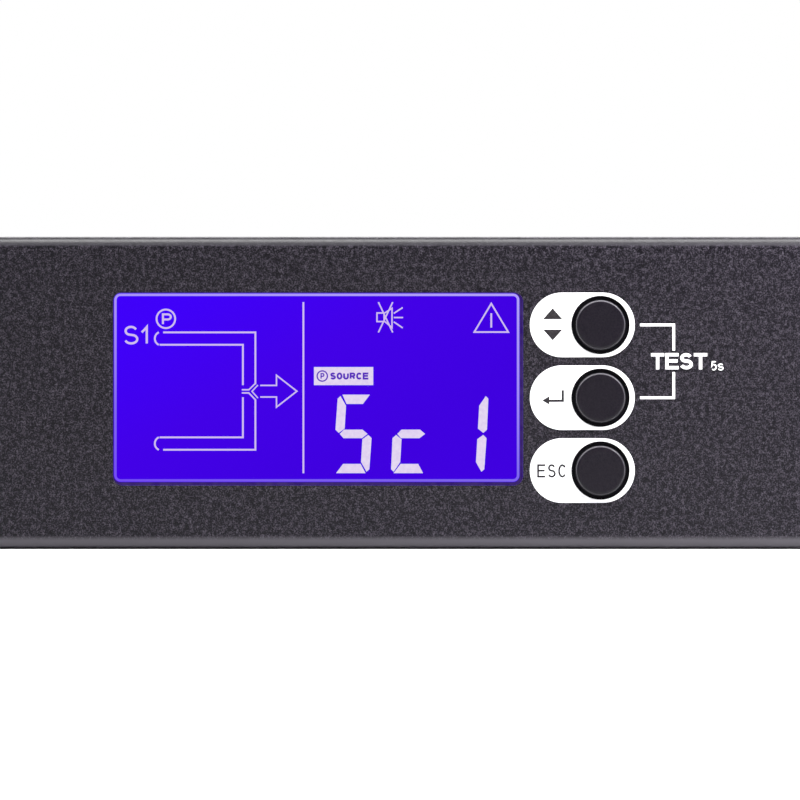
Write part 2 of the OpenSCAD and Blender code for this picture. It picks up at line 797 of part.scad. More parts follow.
// Threaded pillars pressed onto the back of the front wall
module display_standoffs() {
    color("#c9c9cc") for (x = panel_screw_xs, z = panel_screw_zs) difference() {
        rod_y(x, z, front_in, panel_board_y, 2.5);
        rod_y(x, z, front_in + 1, panel_board_y + 1, m3_r + screw_play);
    }
}

module display_screws() {
    color("#c9c9cc") for (x = panel_screw_xs, z = panel_screw_zs) {
        translate([x, panel_board_y + board_t, z]) rotate([-90, 0, 0])
            pan_screw(m3_r, pan_r, pan_h, board_t + panel_board_y - front_in - 2);
    }
}

// Guide plate with a collar in each key hole and pillars down to the board
module key_guide() {
    collar_r = key_hole_d / 2 - 0.14;
    bore_r = key_d / 2 + key_play;
    plate_w = 13;
    plate_h = 2 * key_pitch + 12;
    pillar_zs = [key_mid_z - key_pitch / 2, key_mid_z + key_pitch / 2];
    color("#1c1b1f") difference() {
        union() {
            translate([key_x - plate_w / 2, front_in, key_mid_z - plate_h / 2])
                cube([plate_w, guide_t, plate_h]);
            for (z = key_zs) rod_y(key_x, z, front_y + 0.25, front_in + eps, collar_r);
            for (z = pillar_zs, side = [-1, 1]) {
                rod_y(key_x + side * (plate_w / 2 - 1.2), z, guide_y1 - eps, panel_board_y, 1.1);
            }
        }
        for (z = key_zs) rod_y(key_x, z, front_y - 1, guide_y1 + 1, bore_r);
    }
}

// Key cap in half section: flat top, rounded edge, skirt and retaining flange
module key_profile() {
    top = key_proud;
    skirt_end = key_flange_y1 - front_y;
    flange_start = key_flange_y0 - front_y;
    r = key_d / 2;
    translate([0, -top]) square([r - key_edge_r, key_edge_r + eps]);
    translate([0, -top + key_edge_r]) square([r, top - key_edge_r + flange_start + eps]);
    translate([r - key_edge_r, -top + key_edge_r]) intersection() {
        circle(key_edge_r);
        translate([0, -key_edge_r]) square([key_edge_r, key_edge_r + eps]);
    }
    translate([0, flange_start]) square([r + 0.7, skirt_end - flange_start]);
}

module key_cap(z) {
    color("#2f2c33") translate([key_x, front_y, z]) rotate([-90, 0, 0]) rotate_extrude() key_profile();
}

module key_up_down() { key_cap(key_zs[0]); }
module key_enter() { key_cap(key_zs[1]); }
module key_escape() { key_cap(key_zs[2]); }

switch_y0 = panel_board_y - switch_h;

// Square switch housings on the board, one behind each key
module key_switches() {
    color("#2a2a2d") for (z = key_zs) difference() {
        translate([key_x - 3, switch_y0, z - 3]) cube([6, switch_h, 6]);
        rod_y(key_x, z, switch_y0 - 1, panel_board_y - 0.8, plunger_r + plunger_play);
    }
}

// The round plunger of one switch, which the key pushes in
module plunger(z) {
    color("#e9e4d8") rod_y(key_x, z, key_flange_y1, panel_board_y - 1.1 - key_travel, plunger_r);
}

module plunger_up_down() { plunger(key_zs[0]); }
module plunger_enter() { plunger(key_zs[1]); }
module plunger_escape() { plunger(key_zs[2]); }

// ---------------------------------------------------------------- inlets and outlets

inlet_body_w = inlet_cav_w + 2 * socket_wall;
inlet_body_h = inlet_cav_h + 2 * socket_wall;
outlet_body_w = outlet_chan_w + 2 * socket_wall;
outlet_body_h = outlet_chan_h + 2 * socket_wall;
large_body_w = large_chan_w + 2 * socket_wall;
large_body_h = large_chan_h + 2 * socket_wall;
bezel_y = rear_y + bezel_t;

// Solid outside of a snap-in socket: body, bezel and two spring wedges
module socket_shell(w, h, depth) {
    rotate([90, 0, 0]) {
        linear_extrude(depth) round_rect(w, h, 1.5);
        linear_extrude(bezel_t) round_rect(w + 2 * bezel_rim, h + 2 * bezel_rim, 1.8);
        for (side = [0, 1]) mirror([side, 0, 0]) {
            translate([w / 2, 0, bezel_t + sheet_t + 0.1]) rotate([90, 0, 0])
                linear_extrude(8, center = true) polygon([[-0.5, 0], [0.9, 0], [0, 6], [-0.5, 6]]);
        }
    }
}

// Slot for a flat contact: centre, width along X, height along Z, from the mouth inwards
module contact_slot(x, z, w, h, depth) {
    translate([x - w / 2, -depth, z - h / 2]) cube([w, depth + 1, h]);
}

// Contacts of the inlets, as x and z from the middle of the recess: line, neutral, earth
inlet_contacts = [[-6.5, -4], [6.5, -4], [0, 4]];
pin_w = 8;
pin_t = 2;
pin_l = 15.5;
pin_fit = 0.05;
tab_w = 6.3;
tab_t = 0.8;

// Recessed inlet with three flat pins
module inlet(x) {
    depth = inlet_cav_d + socket_base;
    color("#232226") translate([x, bezel_y, socket_z]) difference() {
        socket_shell(inlet_body_w, inlet_body_h, depth);
        rotate([90, 0, 0]) translate([0, 0, -1]) linear_extrude(inlet_cav_d + 1)
            round_rect(inlet_cav_w, inlet_cav_h, 2.5);
        for (c = inlet_contacts) {
            translate([0, 1, 0])
                contact_slot(c[0], c[1], pin_w + 2 * pin_fit, pin_t + 2 * pin_fit, depth + 3);
        }
    }
}

// One flat pin with its tip bevelled and a narrower solder tab at its rear
module inlet_pin() {
    floor_y = -inlet_cav_d;
    tip_y = floor_y + pin_l;
    rotate([90, 0, 0]) translate([0, 0, -tip_y]) rotate([0, 90, 0]) linear_extrude(pin_w, center = true)
        polygon([
            [0, -pin_t / 4], [0, pin_t / 4], [-1.5, pin_t / 2], [-pin_l - socket_base, pin_t / 2],
            [-pin_l - socket_base, -pin_t / 2], [-1.5, -pin_t / 2]
        ]);
    translate([-tab_w / 2, floor_y - socket_base - tab_l, -tab_t / 2]) cube([tab_w, tab_l + eps, tab_t]);
}

module inlet_pins(x) {
    color("#c9b27a") for (c = inlet_contacts) {
        translate([x + c[0], bezel_y, socket_z + c[1]]) inlet_pin();
    }
}

module inlet_a() { inlet(inlet_xs[0]); }
module inlet_b() { inlet(inlet_xs[1]); }
module inlet_pins_a() { inlet_pins(inlet_xs[0]); }
module inlet_pins_b() { inlet_pins(inlet_xs[1]); }

// A block with the two corners on its right bevelled, as the plug's shroud has them
module keyed_outline(w, h, bevel) {
    polygon([
        [-w / 2, -h / 2], [w / 2 - bevel, -h / 2], [w / 2, -h / 2 + bevel],
        [w / 2, h / 2 - bevel], [w / 2 - bevel, h / 2], [-w / 2, h / 2]
    ]);
}

// Contacts of the outlets, as x and z from the middle: line, neutral, earth
outlet_contacts = [
    [-contact_shift, contact_rise], [-contact_shift, -contact_rise], [contact_shift, 0]
];
large_contacts = [[-4, 6.5], [-4, -6.5], [4, 0]];

// Small outlet, set upright: a channel round a contact block with three slots
module outlet(x) {
    depth = outlet_chan_d + socket_base;
    color("#232226") translate([x, bezel_y, socket_z]) difference() {
        socket_shell(outlet_body_w, outlet_body_h, depth);
        rotate([90, 0, 0]) translate([0, 0, -1]) linear_extrude(outlet_chan_d + 1) difference() {
            keyed_outline(outlet_chan_w, outlet_chan_h, 5.6);
            keyed_outline(outlet_core_w, outlet_core_h, 4.6);
        }
        for (c = outlet_contacts) contact_slot(c[0], c[1], 4.6, 2.4, outlet_chan_d);
    }
}

// Large outlet, set upright, with square corners and broad slots
module outlet_large() {
    depth = outlet_chan_d + socket_base;
    color("#232226") translate([large_x, bezel_y, socket_z]) difference() {
        socket_shell(large_body_w, large_body_h, depth);
        rotate([90, 0, 0]) translate([0, 0, -1]) linear_extrude(outlet_chan_d + 1) difference() {
            round_rect(large_chan_w, large_chan_h, 2);
            round_rect(large_core_w, large_core_h, 1);
        }
        for (c = large_contacts) contact_slot(c[0], c[1], 2.6, 8.6, outlet_chan_d);
    }
}

module outlet_1() { outlet(outlet_xs[0]); }
module outlet_2() { outlet(outlet_xs[1]); }
module outlet_3() { outlet(outlet_xs[2]); }
module outlet_4() { outlet(outlet_xs[3]); }
module outlet_5() { outlet(outlet_xs[4]); }
module outlet_6() { outlet(outlet_xs[5]); }
module outlet_7() { outlet(outlet_xs[6]); }
module outlet_8() { outlet(outlet_xs[7]); }

outlet_rear_y = bezel_y - outlet_chan_d - socket_base;

// Every outlet's three contacts: x of the outlet and its offsets
outlet_places = [for (x = outlet_xs, c = outlet_contacts) [x + c[0], socket_z + c[1]]];
large_places = [for (i = [0:2]) [large_x + large_contacts[i][0], socket_z + outlet_contacts[i][1]]];

// Tinned tabs behind the outlets
module outlet_tabs() {
    color("#b9babd") for (p = concat(outlet_places, large_places)) {
        translate([p[0] - tab_w / 2, outlet_rear_y - tab_l, p[1] - tab_t / 2]) cube([tab_w, tab_l, tab_t]);
    }
}

// A bar soldered across one row of tabs; it lies on top of them
module collecting_bar(offset_z) {
    x0 = outlet_xs[0] - bar_left_reach;
    x1 = large_x + bar_right_reach;
    translate([x0, outlet_rear_y - tab_l, socket_z + offset_z + tab_t / 2]) cube([x1 - x0, bar_w, bar_t]);
}

module live_bar() { color("#c08a52") collecting_bar(contact_rise); }
module neutral_bar() { color("#c08a52") collecting_bar(-contact_rise); }
module earth_bar() { color("#c08a52") collecting_bar(0); }

// ---------------------------------------------------------------- breakers, ports and earth

neck_in_r = reset_d / 2 + reset_play;
neck_l = neck_out + sheet_t;

// Push-to-reset breaker: box behind the wall and a threaded neck through it
module breaker(x) {
    color("#2a2a2d") translate([x, 0, socket_z]) difference() {
        union() {
            translate([-breaker_w / 2, rear_in - breaker_d, -breaker_h / 2])
                cube([breaker_w, breaker_d, breaker_h]);
            rod_y(0, 0, rear_in - eps, rear_y + neck_out, neck_d / 2);
            for (side = [-1, 1]) {
                translate([-tab_w / 2, rear_in - breaker_d - tab_l, side * breaker_tab_rise - tab_t / 2])
                    cube([tab_w, tab_l + eps, tab_t]);
            }
        }
        rod_y(0, 0, rear_in - 10, rear_y + neck_out + 1, neck_in_r);
    }
}

// Six-sided nuts that clamp the breakers to the rear wall
module breaker_nuts() {
    color("#c9c9cc") for (x = breaker_xs) difference() {
        translate([x, rear_y, socket_z]) rotate([-90, 30, 0]) cylinder(r = nut_r, h = nut_h, $fn = 6);
        rod_y(x, socket_z, rear_y - 1, rear_y + nut_h + 1, neck_d / 2 + screw_play);
    }
}

// Reset button: a round plunger with a domed end and a broad foot
module reset_button(x) {
    end_y = rear_y + neck_out + reset_proud;
    r = reset_d / 2;
    color("#ece9e2") translate([x, 0, socket_z]) union() {
        rod_y(0, 0, rear_in - 9, end_y - 0.8, r);
        rod_y(0, 0, end_y - 0.8 - eps, end_y, r - 0.5);
    }
}

module breaker_a() { breaker(breaker_xs[0]); }
module breaker_b() { breaker(breaker_xs[1]); }
module reset_a() { reset_button(breaker_xs[0]); }
module reset_b() { reset_button(breaker_xs[1]); }

serial_screw_x = serial_screw_w / 2;
serial_screw_r = m3_r;
earth_r = earth_d / 2;
contact_r = 0.2 * contact_pitch;

// The D-shaped outline of the serial port, wide side up
module d_outline(w, h) {
    slant = 1.5;
    c = 1.4;
    polygon([
        [-w / 2 + c, h / 2], [w / 2 - c, h / 2], [w / 2, h / 2 - c], [w / 2 - slant, -h / 2 + c],
        [w / 2 - slant - c, -h / 2], [-w / 2 + slant + c, -h / 2],
        [-w / 2 + slant, -h / 2 + c], [-w / 2, h / 2 - c]
    ]);
}

// Nine-way serial socket: flange behind the wall, D-shaped nose through it
module serial_port() {
    body_l = 10;
    color("#bfc0c4") translate([port_x, 0, serial_z]) difference() {
        union() {
            translate([0, rear_in, 0]) rotate([90, 0, 0]) linear_extrude(1)
                round_rect(serial_flange_w, serial_flange_h, 1.5);
            translate([0, rear_y + serial_nose, 0]) rotate([90, 0, 0])
                linear_extrude(serial_nose + sheet_t + eps) d_outline(serial_w, serial_h);
            translate([-serial_w / 2 - 0.5, rear_in - 1 - body_l, -serial_h / 2])
                cube([serial_w + 1, body_l + eps, serial_h]);
        }
        for (row = [0, 1], i = [0:4 - row]) {
            rod_y(
                (i - 2 + row / 2) * contact_pitch, (0.5 - row) * contact_pitch,
                rear_in + 1, rear_y + serial_nose + 1, contact_r
            );
        }
        for (side = [-1, 1]) {
            rod_y(side * serial_screw_x, 0, rear_in - 2, rear_in + 1, serial_screw_r + screw_play);
        }
    }
}

// Six-sided screws that hold the serial port and take its plug's screws
module port_jackscrews() {
    color("#c9c9cc") for (side = [-1, 1]) difference() {
        translate([port_x + side * serial_screw_x, 0, serial_z]) union() {
            translate([0, rear_y, 0]) rotate([-90, 0, 0]) cylinder(r = 2.9, h = 5, $fn = 6);
            rod_y(0, 0, rear_in - 5, rear_y + eps, serial_screw_r);
        }
        rod_y(port_x + side * serial_screw_x, serial_z, rear_y + 1, rear_y + 6, 1.1);
    }
}

// Square socket for a communication lead: shell, mouth and tongue
module usb_port() {
    color("#bfc0c4") translate([port_x, 0, usb_z]) difference() {
        translate([-usb_w / 2, rear_y + 0.4 - 16, -usb_h / 2]) cube([usb_w, 16, usb_h]);
        difference() {
            translate([0, rear_y + 1, 0]) rotate([90, 0, 0]) linear_extrude(9) keyed_top(8.5, 7.8, 1.6);
            translate([-2.8, rear_y - 9, -1.6]) cube([5.6, 8.6, 3.2]);
        }
    }
}

// A rectangle with its two upper corners bevelled
module keyed_top(w, h, bevel) {
    polygon([
        [-w / 2, -h / 2], [w / 2, -h / 2], [w / 2, h / 2 - bevel],
        [w / 2 - bevel, h / 2], [-w / 2 + bevel, h / 2], [-w / 2, h / 2 - bevel]
    ]);
}

// Earth stud: its round head is inside, its shank comes out through the wall
module earth_stud() {
    color("#c9a85a") union() {
        rod_y(earth_x, earth_z, rear_in - 2, rear_in, 4.5);
        rod_y(earth_x, earth_z, rear_in - eps, rear_y + 9, earth_r);
    }
}

module earth_nut() {
    color("#c9a85a") difference() {
        union() {
            translate([earth_x, rear_y, earth_z]) rotate([-90, 0, 0]) cylinder(r = 5.2, h = 1);
            translate([earth_x, rear_y + 1 - eps, earth_z]) rotate([-90, 30, 0])
                cylinder(r = 4.6, h = 4, $fn = 6);
        }
        rod_y(earth_x, earth_z, rear_y - 1, rear_y + 6, earth_r + screw_play);
    }
}

// ---------------------------------------------------------------- power electronics

// Insulating sheet on the floor, cleared round the standoffs
module floor_liner() {
    margin = 3;
    color("#e8e2cf") difference() {
        translate([-pcb_x - margin, pcb_y0 - margin, sheet_t])
            cube([2 * (pcb_x + margin), pcb_y1 - pcb_y0 + 2 * margin, liner_t]);
        at_corners(standoff_xs, standoff_ys) cylinder(r = standoff_af / 2 + 1.5, h = 10);
    }
}

module board_standoffs() {
    color("#c9c9cc") at_corners(standoff_xs, standoff_ys) translate([0, 0, sheet_t]) difference() {
        cylinder(r = standoff_af / 2 / cos(30), h = standoff_h, $fn = 6);
        translate([0, 0, 1]) cylinder(r = m3_r + screw_play, h = standoff_h);
    }
}

module board_screws() {
    color("#c9c9cc") at_corners(standoff_xs, standoff_ys) translate([0, 0, pcb_z1])
        pan_screw(m3_r, pan_r, pan_h, board_t + standoff_h - 1.5);
}

module power_board() {
    color("#1d5c34") difference() {
        translate([-pcb_x, pcb_y0, pcb_z0]) cube([2 * pcb_x, pcb_y1 - pcb_y0, board_t]);
        at_corners(standoff_xs, standoff_ys) cylinder(r = m3_r + screw_play, h = 40);
    }
}

// Comb section of a heatsink: a back with fins to the front
module sink_section() {
    gap = (sink_h - fin_t) / (fin_count - 1);
    translate([sink_y0, pcb_z1]) square([sink_back_t, sink_h]);
    for (i = [0:fin_count - 1]) {
        translate([sink_y0 - fin_d, pcb_z1 + i * gap]) square([fin_d + eps, fin_t]);
    }
}

module heatsink(x) {
    color("#b4b6ba") difference() {
        along_x(sink_l, x - sink_l / 2) sink_section();
        for (i = [-1.5:1:1.5]) {
            rod_y(
                x + i * thyristor_pitch, thyristor_hole_z,
                sink_y1 - thyristor_thread - 0.2, sink_y1 + 1, m3_r + screw_play
            );
        }
    }
}

module heatsink_a() { heatsink(sink_xs[0]); }
module heatsink_b() { heatsink(sink_xs[1]); }

leg_w = 0.08 * thyristor_w;

// Thyristors screwed to the backs of the heatsinks, each with three legs
module thyristors() {
    color("#232326") for (x = thyristor_ps) difference() {
        union() {
            translate([x - thyristor_w / 2, sink_y1, thyristor_z0])
                cube([thyristor_w, thyristor_t, thyristor_h]);
            for (i = [-1, 0, 1]) {
                translate([x + i * leg_pitch - leg_w / 2, sink_y1 + 0.4 * thyristor_t, pcb_z1])
                    cube([leg_w, leg_w / 2, thyristor_gap + eps]);
            }
        }
        rod_y(x, thyristor_hole_z, sink_y1 - 1, sink_y1 + thyristor_t + 1, m3_r + screw_play);
    }
}

module thyristor_screws() {
    color("#c9c9cc") for (x = thyristor_ps) {
        translate([x, sink_y1 + thyristor_t, thyristor_hole_z]) rotate([-90, 0, 0])
            pan_screw(m3_r, pan_r, pan_h, thyristor_t + thyristor_thread);
    }
}

// Isolating relays between the thyristors and the terminals
module relays() {
    color("#2b3f63") for (x = sink_xs, side = [-1, 1]) {
        translate([x + side * relay_shift, pcb_y1 - relay_inset, pcb_z1]) linear_extrude(relay_h)
            round_rect(relay_l, relay_w, 0.8);
    }
}

// Two small supply transformers: a wound coil round the legs of each core
module supply_transformers() {
    leg = core_l / 9;
    window_w = core_l / 4.5;
    window_h = core_h - 10;
    coil_play = 0.1;
    color("#3a3a3e") for (side = [-1, 1]) {
        translate([side * (pcb_x - transformer_inset), pcb_y0 + 0.6 * core_l, pcb_z1]) {
            difference() {
                translate([-core_l / 2, -core_w / 2, 0]) cube([core_l, core_w, core_h]);
                for (s = [-1, 1]) {
                    translate([s * core_l / 4 - window_w / 2, -core_w, 5])
                        cube([window_w, 2 * core_w, window_h]);
                }
            }
            for (s = [-1, 1]) {
                translate([-core_l / 4 - leg, s * (core_w / 2 + 2) - 2 + coil_play / 2, 5 + coil_play])
                    cube([core_l / 2 + 2 * leg, 4 - coil_play, window_h - 2 * coil_play]);
                translate([s * core_l / 4 - window_w / 2 + coil_play, -core_w / 2 - 1, 5 + coil_play])
                    cube([window_w - 2 * coil_play, core_w + 2, window_h - 2 * coil_play]);
            }
        }
    }
}

capacitor_xs = [-0.25, -0.156, 0.156, 0.25] * tray_x;

// Electrolytic capacitors, each rolled in below its top
module capacitors() {
    r = capacitor_d / 2;
    rolled = capacitor_h / 18;
    color("#1f2a44") for (x = capacitor_xs) translate([x, pcb_y0 + capacitor_d, pcb_z1]) {
        rotate_extrude() {
            square([r, capacitor_h - 3.5 * rolled]);
            square([r - rolled / 2, capacitor_h - rolled]);
            translate([0, capacitor_h - 2.5 * rolled]) square([r, 2.5 * rolled]);
        }
    }
}

// A wire from a socket tab to the board: level, a round bend, then straight down
module drop_wire(x, z, y_tab, y_board) {
    rod_y(x, z, y_board + wire_bend, y_tab, wire_r);
    translate([x, y_board + wire_bend, z - wire_bend]) rotate([90, 0, 90])
        rotate_extrude(angle = 90, start = 90) translate([wire_bend, 0]) circle(wire_r);
    translate([x, y_board, pcb_z1]) cylinder(r = wire_r, h = z - wire_bend - pcb_z1 + eps);
}

inlet_rear_y = bezel_y - inlet_cav_d - socket_base;
landing_y = pcb_y1 - 12;

// Stiff insulated wires: inlets to the board, breakers to the board, bars to the board
module wiring() {
    color("#5a3326") {
        for (x = inlet_xs, c = [inlet_contacts[0], inlet_contacts[1]]) {
            drop_wire(x + c[0], socket_z + c[1], inlet_rear_y - tab_l, landing_y);
        }
        for (x = breaker_xs, side = [-1, 1]) {
            drop_wire(x, socket_z + side * breaker_tab_rise, rear_in - breaker_d - tab_l, landing_y - side * 4);
        }
        for (i = [0:2]) {
            z = socket_z + outlet_contacts[i][1] + tab_t / 2 + bar_t / 2;
            drop_wire(outlet_xs[outlet_count - 1] + (i - 1) * 9, z, outlet_rear_y - tab_l, landing_y);
        }
    }
}

// ---------------------------------------------------------------- the part

base_tray();
top_cover();
rack_ear_left();
rack_ear_right();
ear_screws();
cover_screws();
panel_print();
display_lens();
display_cell();
display_backlight();
display_board();
display_standoffs();
display_screws();
key_guide();
key_up_down();
key_enter();
key_escape();
key_switches();
plunger_up_down();
plunger_enter();
plunger_escape();
inlet_a();
inlet_b();
inlet_pins_a();
inlet_pins_b();
outlet_1();
outlet_2();
outlet_3();
outlet_4();
outlet_5();
outlet_6();
outlet_7();
outlet_8();
outlet_large();
outlet_tabs();
live_bar();
neutral_bar();
earth_bar();
breaker_a();
breaker_b();
breaker_nuts();
reset_a();
reset_b();
serial_port();
usb_port();
port_jackscrews();
earth_stud();
earth_nut();
floor_liner();
power_board();
board_standoffs();
board_screws();
heatsink_a();
heatsink_b();
thyristors();
thyristor_screws();
relays();
supply_transformers();
capacitors();
wiring();
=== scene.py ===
import bmesh
import bpy
import math
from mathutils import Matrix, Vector


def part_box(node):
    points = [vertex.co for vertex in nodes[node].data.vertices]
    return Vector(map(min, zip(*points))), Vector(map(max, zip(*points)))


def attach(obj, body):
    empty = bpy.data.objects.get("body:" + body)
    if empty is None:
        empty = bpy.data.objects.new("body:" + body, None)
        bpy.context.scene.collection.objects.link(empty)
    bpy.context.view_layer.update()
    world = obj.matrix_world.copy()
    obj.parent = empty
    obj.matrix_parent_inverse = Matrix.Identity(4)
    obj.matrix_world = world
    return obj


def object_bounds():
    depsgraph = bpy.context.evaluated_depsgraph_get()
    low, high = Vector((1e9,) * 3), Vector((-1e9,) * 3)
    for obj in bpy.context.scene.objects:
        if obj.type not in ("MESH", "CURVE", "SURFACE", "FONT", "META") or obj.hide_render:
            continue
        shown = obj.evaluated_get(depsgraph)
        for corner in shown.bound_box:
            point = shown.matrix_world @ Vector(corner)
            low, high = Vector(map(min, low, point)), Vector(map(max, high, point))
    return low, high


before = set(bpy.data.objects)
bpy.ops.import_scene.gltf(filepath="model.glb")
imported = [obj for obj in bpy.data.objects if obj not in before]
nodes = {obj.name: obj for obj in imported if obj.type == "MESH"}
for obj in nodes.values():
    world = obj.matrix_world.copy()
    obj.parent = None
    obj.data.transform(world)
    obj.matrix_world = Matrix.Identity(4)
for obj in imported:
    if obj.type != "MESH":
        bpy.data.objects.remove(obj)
cad_lo, cad_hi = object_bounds()

# ------------------------------------------------------------------ case
# The case is folded from 1.2 mm steel: a tray with the front and rear walls, and a cover.
# Tray, cover and rack ears are powder coated black with a fine, slightly glittering grain,
# baked on before assembly, so the coat also covers the folds and the cut edges.

mm = 0.001


def new_material(name, colour, roughness, metallic=0.0, specular=0.5):
    """A shader with plain values on its sockets, and the nodes to add detail to it."""
    material = bpy.data.materials.new(name)
    material.use_nodes = True
    tree = material.node_tree
    shader = tree.nodes["Principled BSDF"]
    shader.inputs["Base Color"].default_value = (*colour, 1)
    shader.inputs["Roughness"].default_value = roughness
    shader.inputs["Metallic"].default_value = metallic
    shader.inputs["Specular IOR Level"].default_value = specular
    return material, tree, shader


def on_object(tree):
    """The place on the object, in metres."""
    return tree.nodes.new("ShaderNodeTexCoord").outputs["Object"]


def noise(tree, scale, detail=2.0, roughness=0.5, stretch=(1, 1, 1)):
    """Noise on object coordinates; scale counts cells in a metre."""
    mapping = tree.nodes.new("ShaderNodeMapping")
    mapping.inputs["Scale"].default_value = stretch
    texture = tree.nodes.new("ShaderNodeTexNoise")
    texture.inputs["Scale"].default_value = scale
    texture.inputs["Detail"].default_value = detail
    texture.inputs["Roughness"].default_value = roughness
    tree.links.new(on_object(tree), mapping.inputs["Vector"])
    tree.links.new(mapping.outputs["Vector"], texture.inputs["Vector"])
    return texture.outputs["Fac"]


def vector_step(tree, operation, source, *amounts):
    """One step of arithmetic on a place."""
    node = tree.nodes.new("ShaderNodeVectorMath")
    node.operation = operation
    tree.links.new(source, node.inputs[0])
    for socket, amount in zip(node.inputs[1:], amounts):
        socket.default_value = amount
    return node.outputs["Value" if operation in ("DOT_PRODUCT", "LENGTH") else "Vector"]


def along(tree, direction):
    """How far a place lies along a direction, times the direction's length."""
    return vector_step(tree, "DOT_PRODUCT", on_object(tree), direction)


def ramp(tree, source, stops):
    """Colours at given heights of a texture."""
    node = tree.nodes.new("ShaderNodeValToRGB")
    while len(node.color_ramp.elements) < len(stops):
        node.color_ramp.elements.new(0.5)
    for element, (place, colour) in zip(node.color_ramp.elements, stops):
        element.position = place
        element.color = (*colour, 1)
    tree.links.new(source, node.inputs["Fac"])
    return node.outputs["Color"]


def spread(tree, source, low, high, start=0.3, end=0.7):
    """A texture's values from start to end, taken to the range from low to high."""
    node = tree.nodes.new("ShaderNodeMapRange")
    node.inputs["From Min"].default_value = start
    node.inputs["From Max"].default_value = end
    node.inputs["To Min"].default_value = low
    node.inputs["To Max"].default_value = high
    tree.links.new(source, node.inputs["Value"])
    return node.outputs["Result"]


def bump(tree, shader, source, depth, strength=1.0):
    """Relief of the given depth in metres from a texture."""
    node = tree.nodes.new("ShaderNodeBump")
    node.inputs["Distance"].default_value = depth
    node.inputs["Strength"].default_value = strength
    tree.links.new(source, node.inputs["Height"])
    tree.links.new(node.outputs["Normal"], shader.inputs["Normal"])


def paint_highlight(tree, shader, share, base_colour, highlight_colour):
    """The shader's colour with a painted highlight over it: the base colour where the share is 0, and the
    highlight, a colour or a texture, where it is 1.
    """
    node = tree.nodes.new("ShaderNodeMix")
    node.data_type = "RGBA"
    tree.links.new(share, node.inputs["Factor"])
    tree.links.new(base_colour, node.inputs["A"])
    if isinstance(highlight_colour, tuple):
        node.inputs["B"].default_value = (*highlight_colour, 1)
    else:
        tree.links.new(highlight_colour, node.inputs["B"])
    tree.links.new(node.outputs["Result"], shader.inputs["Base Color"])


def dress(material, *names):
    """Gives CAD nodes a material of their own."""
    for name in names:
        mesh = nodes[name].data
        mesh.materials.clear()
        mesh.materials.append(material)


powder, tree, shader = new_material("powder_coat", (0.006, 0.005, 0.008), 0.32, specular=0.25)
grain = noise(tree, 4800, 3.0, 0.8)
lumps = tree.nodes.new("ShaderNodeMath")
lumps.operation = "ADD"
tree.links.new(grain, lumps.inputs[0])
tree.links.new(spread(tree, noise(tree, 1500), -0.07, 0.07), lumps.inputs[1])
coat = ramp(tree, lumps.outputs["Value"], [
    (0.38, (0.0, 0.0, 0.001)), (0.50, (0.006, 0.0045, 0.008)), (0.68, (0.076, 0.067, 0.086)),
])
bump(tree, shader, grain, 0.05 * mm, 0.4)
# The lowest and highest folds carry a painted highlight: a paler colour where the rounded folds catch the
# light from above and from the floor. Each place in millimetres from the fold's edge has its share of the
# painted highlight.
low_fold_shares = [(0.10, 0.0), (0.44, 1.0), (1.20, 1.0), (1.90, 0.0)]
high_fold_shares = [(1.4, 0.0), (1.1, 0.9), (0.3, 0.9), (0.1, 0.0)]
low_fold_highlight, high_fold_highlight, top_fold_tone = (0.095, 0.088, 0.102), (0.04, 0.038, 0.044), (0.008, 0.007, 0.009)
case_h = cad_hi.z
height = spread(tree, along(tree, (0, 0, 1)), 0, 1, 0.0, case_h)
fold_highlight_share = ramp(tree, height, [(up * mm / case_h, (share,) * 3) for up, share in low_fold_shares] + [
    (1 - down * mm / case_h, (share,) * 3) for down, share in high_fold_shares
])
fold_highlight_tone = ramp(tree, height, [
    (0.1, low_fold_highlight), (0.9, low_fold_highlight), (1 - 1.2 * mm / case_h, high_fold_highlight), (1 - 0.7 * mm / case_h, top_fold_tone),
])
# The painted fold highlights go over the coat's colour here
paint_highlight(tree, shader, fold_highlight_share, coat, fold_highlight_tone)
tree.links.new(spread(tree, noise(tree, 1400), 0.28, 0.38), shader.inputs["Roughness"])
dress(powder, "base_tray", "top_cover", "rack_ear_left", "rack_ear_right")

# ------------------------------------------------------------------ screws
# Countersunk and low round-headed screws with cross recesses hold the ears and the cover.
# They are rolled from steel wire; outside they are black zinc, inside bright zinc.


def tint(tree, shader, source, dark, pale, start=0.3, end=0.7):
    """The shader's colour, going from dark to pale as a texture goes from start to end."""
    tree.links.new(ramp(tree, source, [(start, dark), (end, pale)]), shader.inputs["Base Color"])


black_zinc, tree, shader = new_material("black_zinc", (0.03, 0.03, 0.032), 0.34, metallic=0.9)
tint(tree, shader, noise(tree, 2200), (0.02, 0.02, 0.022), (0.055, 0.055, 0.06), 0.35, 0.65)
dress(black_zinc, "ear_screws", "cover_screws")

bright_zinc, tree, shader = new_material("bright_zinc", (0.62, 0.62, 0.63), 0.3, metallic=1.0)
tint(tree, shader, noise(tree, 1800), (0.5, 0.5, 0.53), (0.72, 0.71, 0.69), 0.35, 0.65)
dress(
    bright_zinc, "display_standoffs", "display_screws", "board_standoffs", "board_screws",
    "thyristor_screws", "breaker_nuts", "port_jackscrews",
)

# ------------------------------------------------------------------ printed fields
# White ink is screen printed on the coated front: a field with round ends for each key,
# and the thin bracket that joins the upper two keys. The grain shows through faintly.

ink, tree, shader = new_material("white_ink", (0.95, 0.95, 0.955), 0.5, specular=0.3)
tint(tree, shader, noise(tree, 1500, 3.0), (0.9, 0.9, 0.91), (0.97, 0.965, 0.975), 0.25, 0.6)
bump(tree, shader, noise(tree, 1500), 0.02 * mm, 0.4)
dress(ink, "panel_print")

# ------------------------------------------------------------------ display
# A clear acrylic lens fills the window. Behind it lies a blue liquid crystal cell that a
# light box shines through, so the field glows and the characters stand out pale.

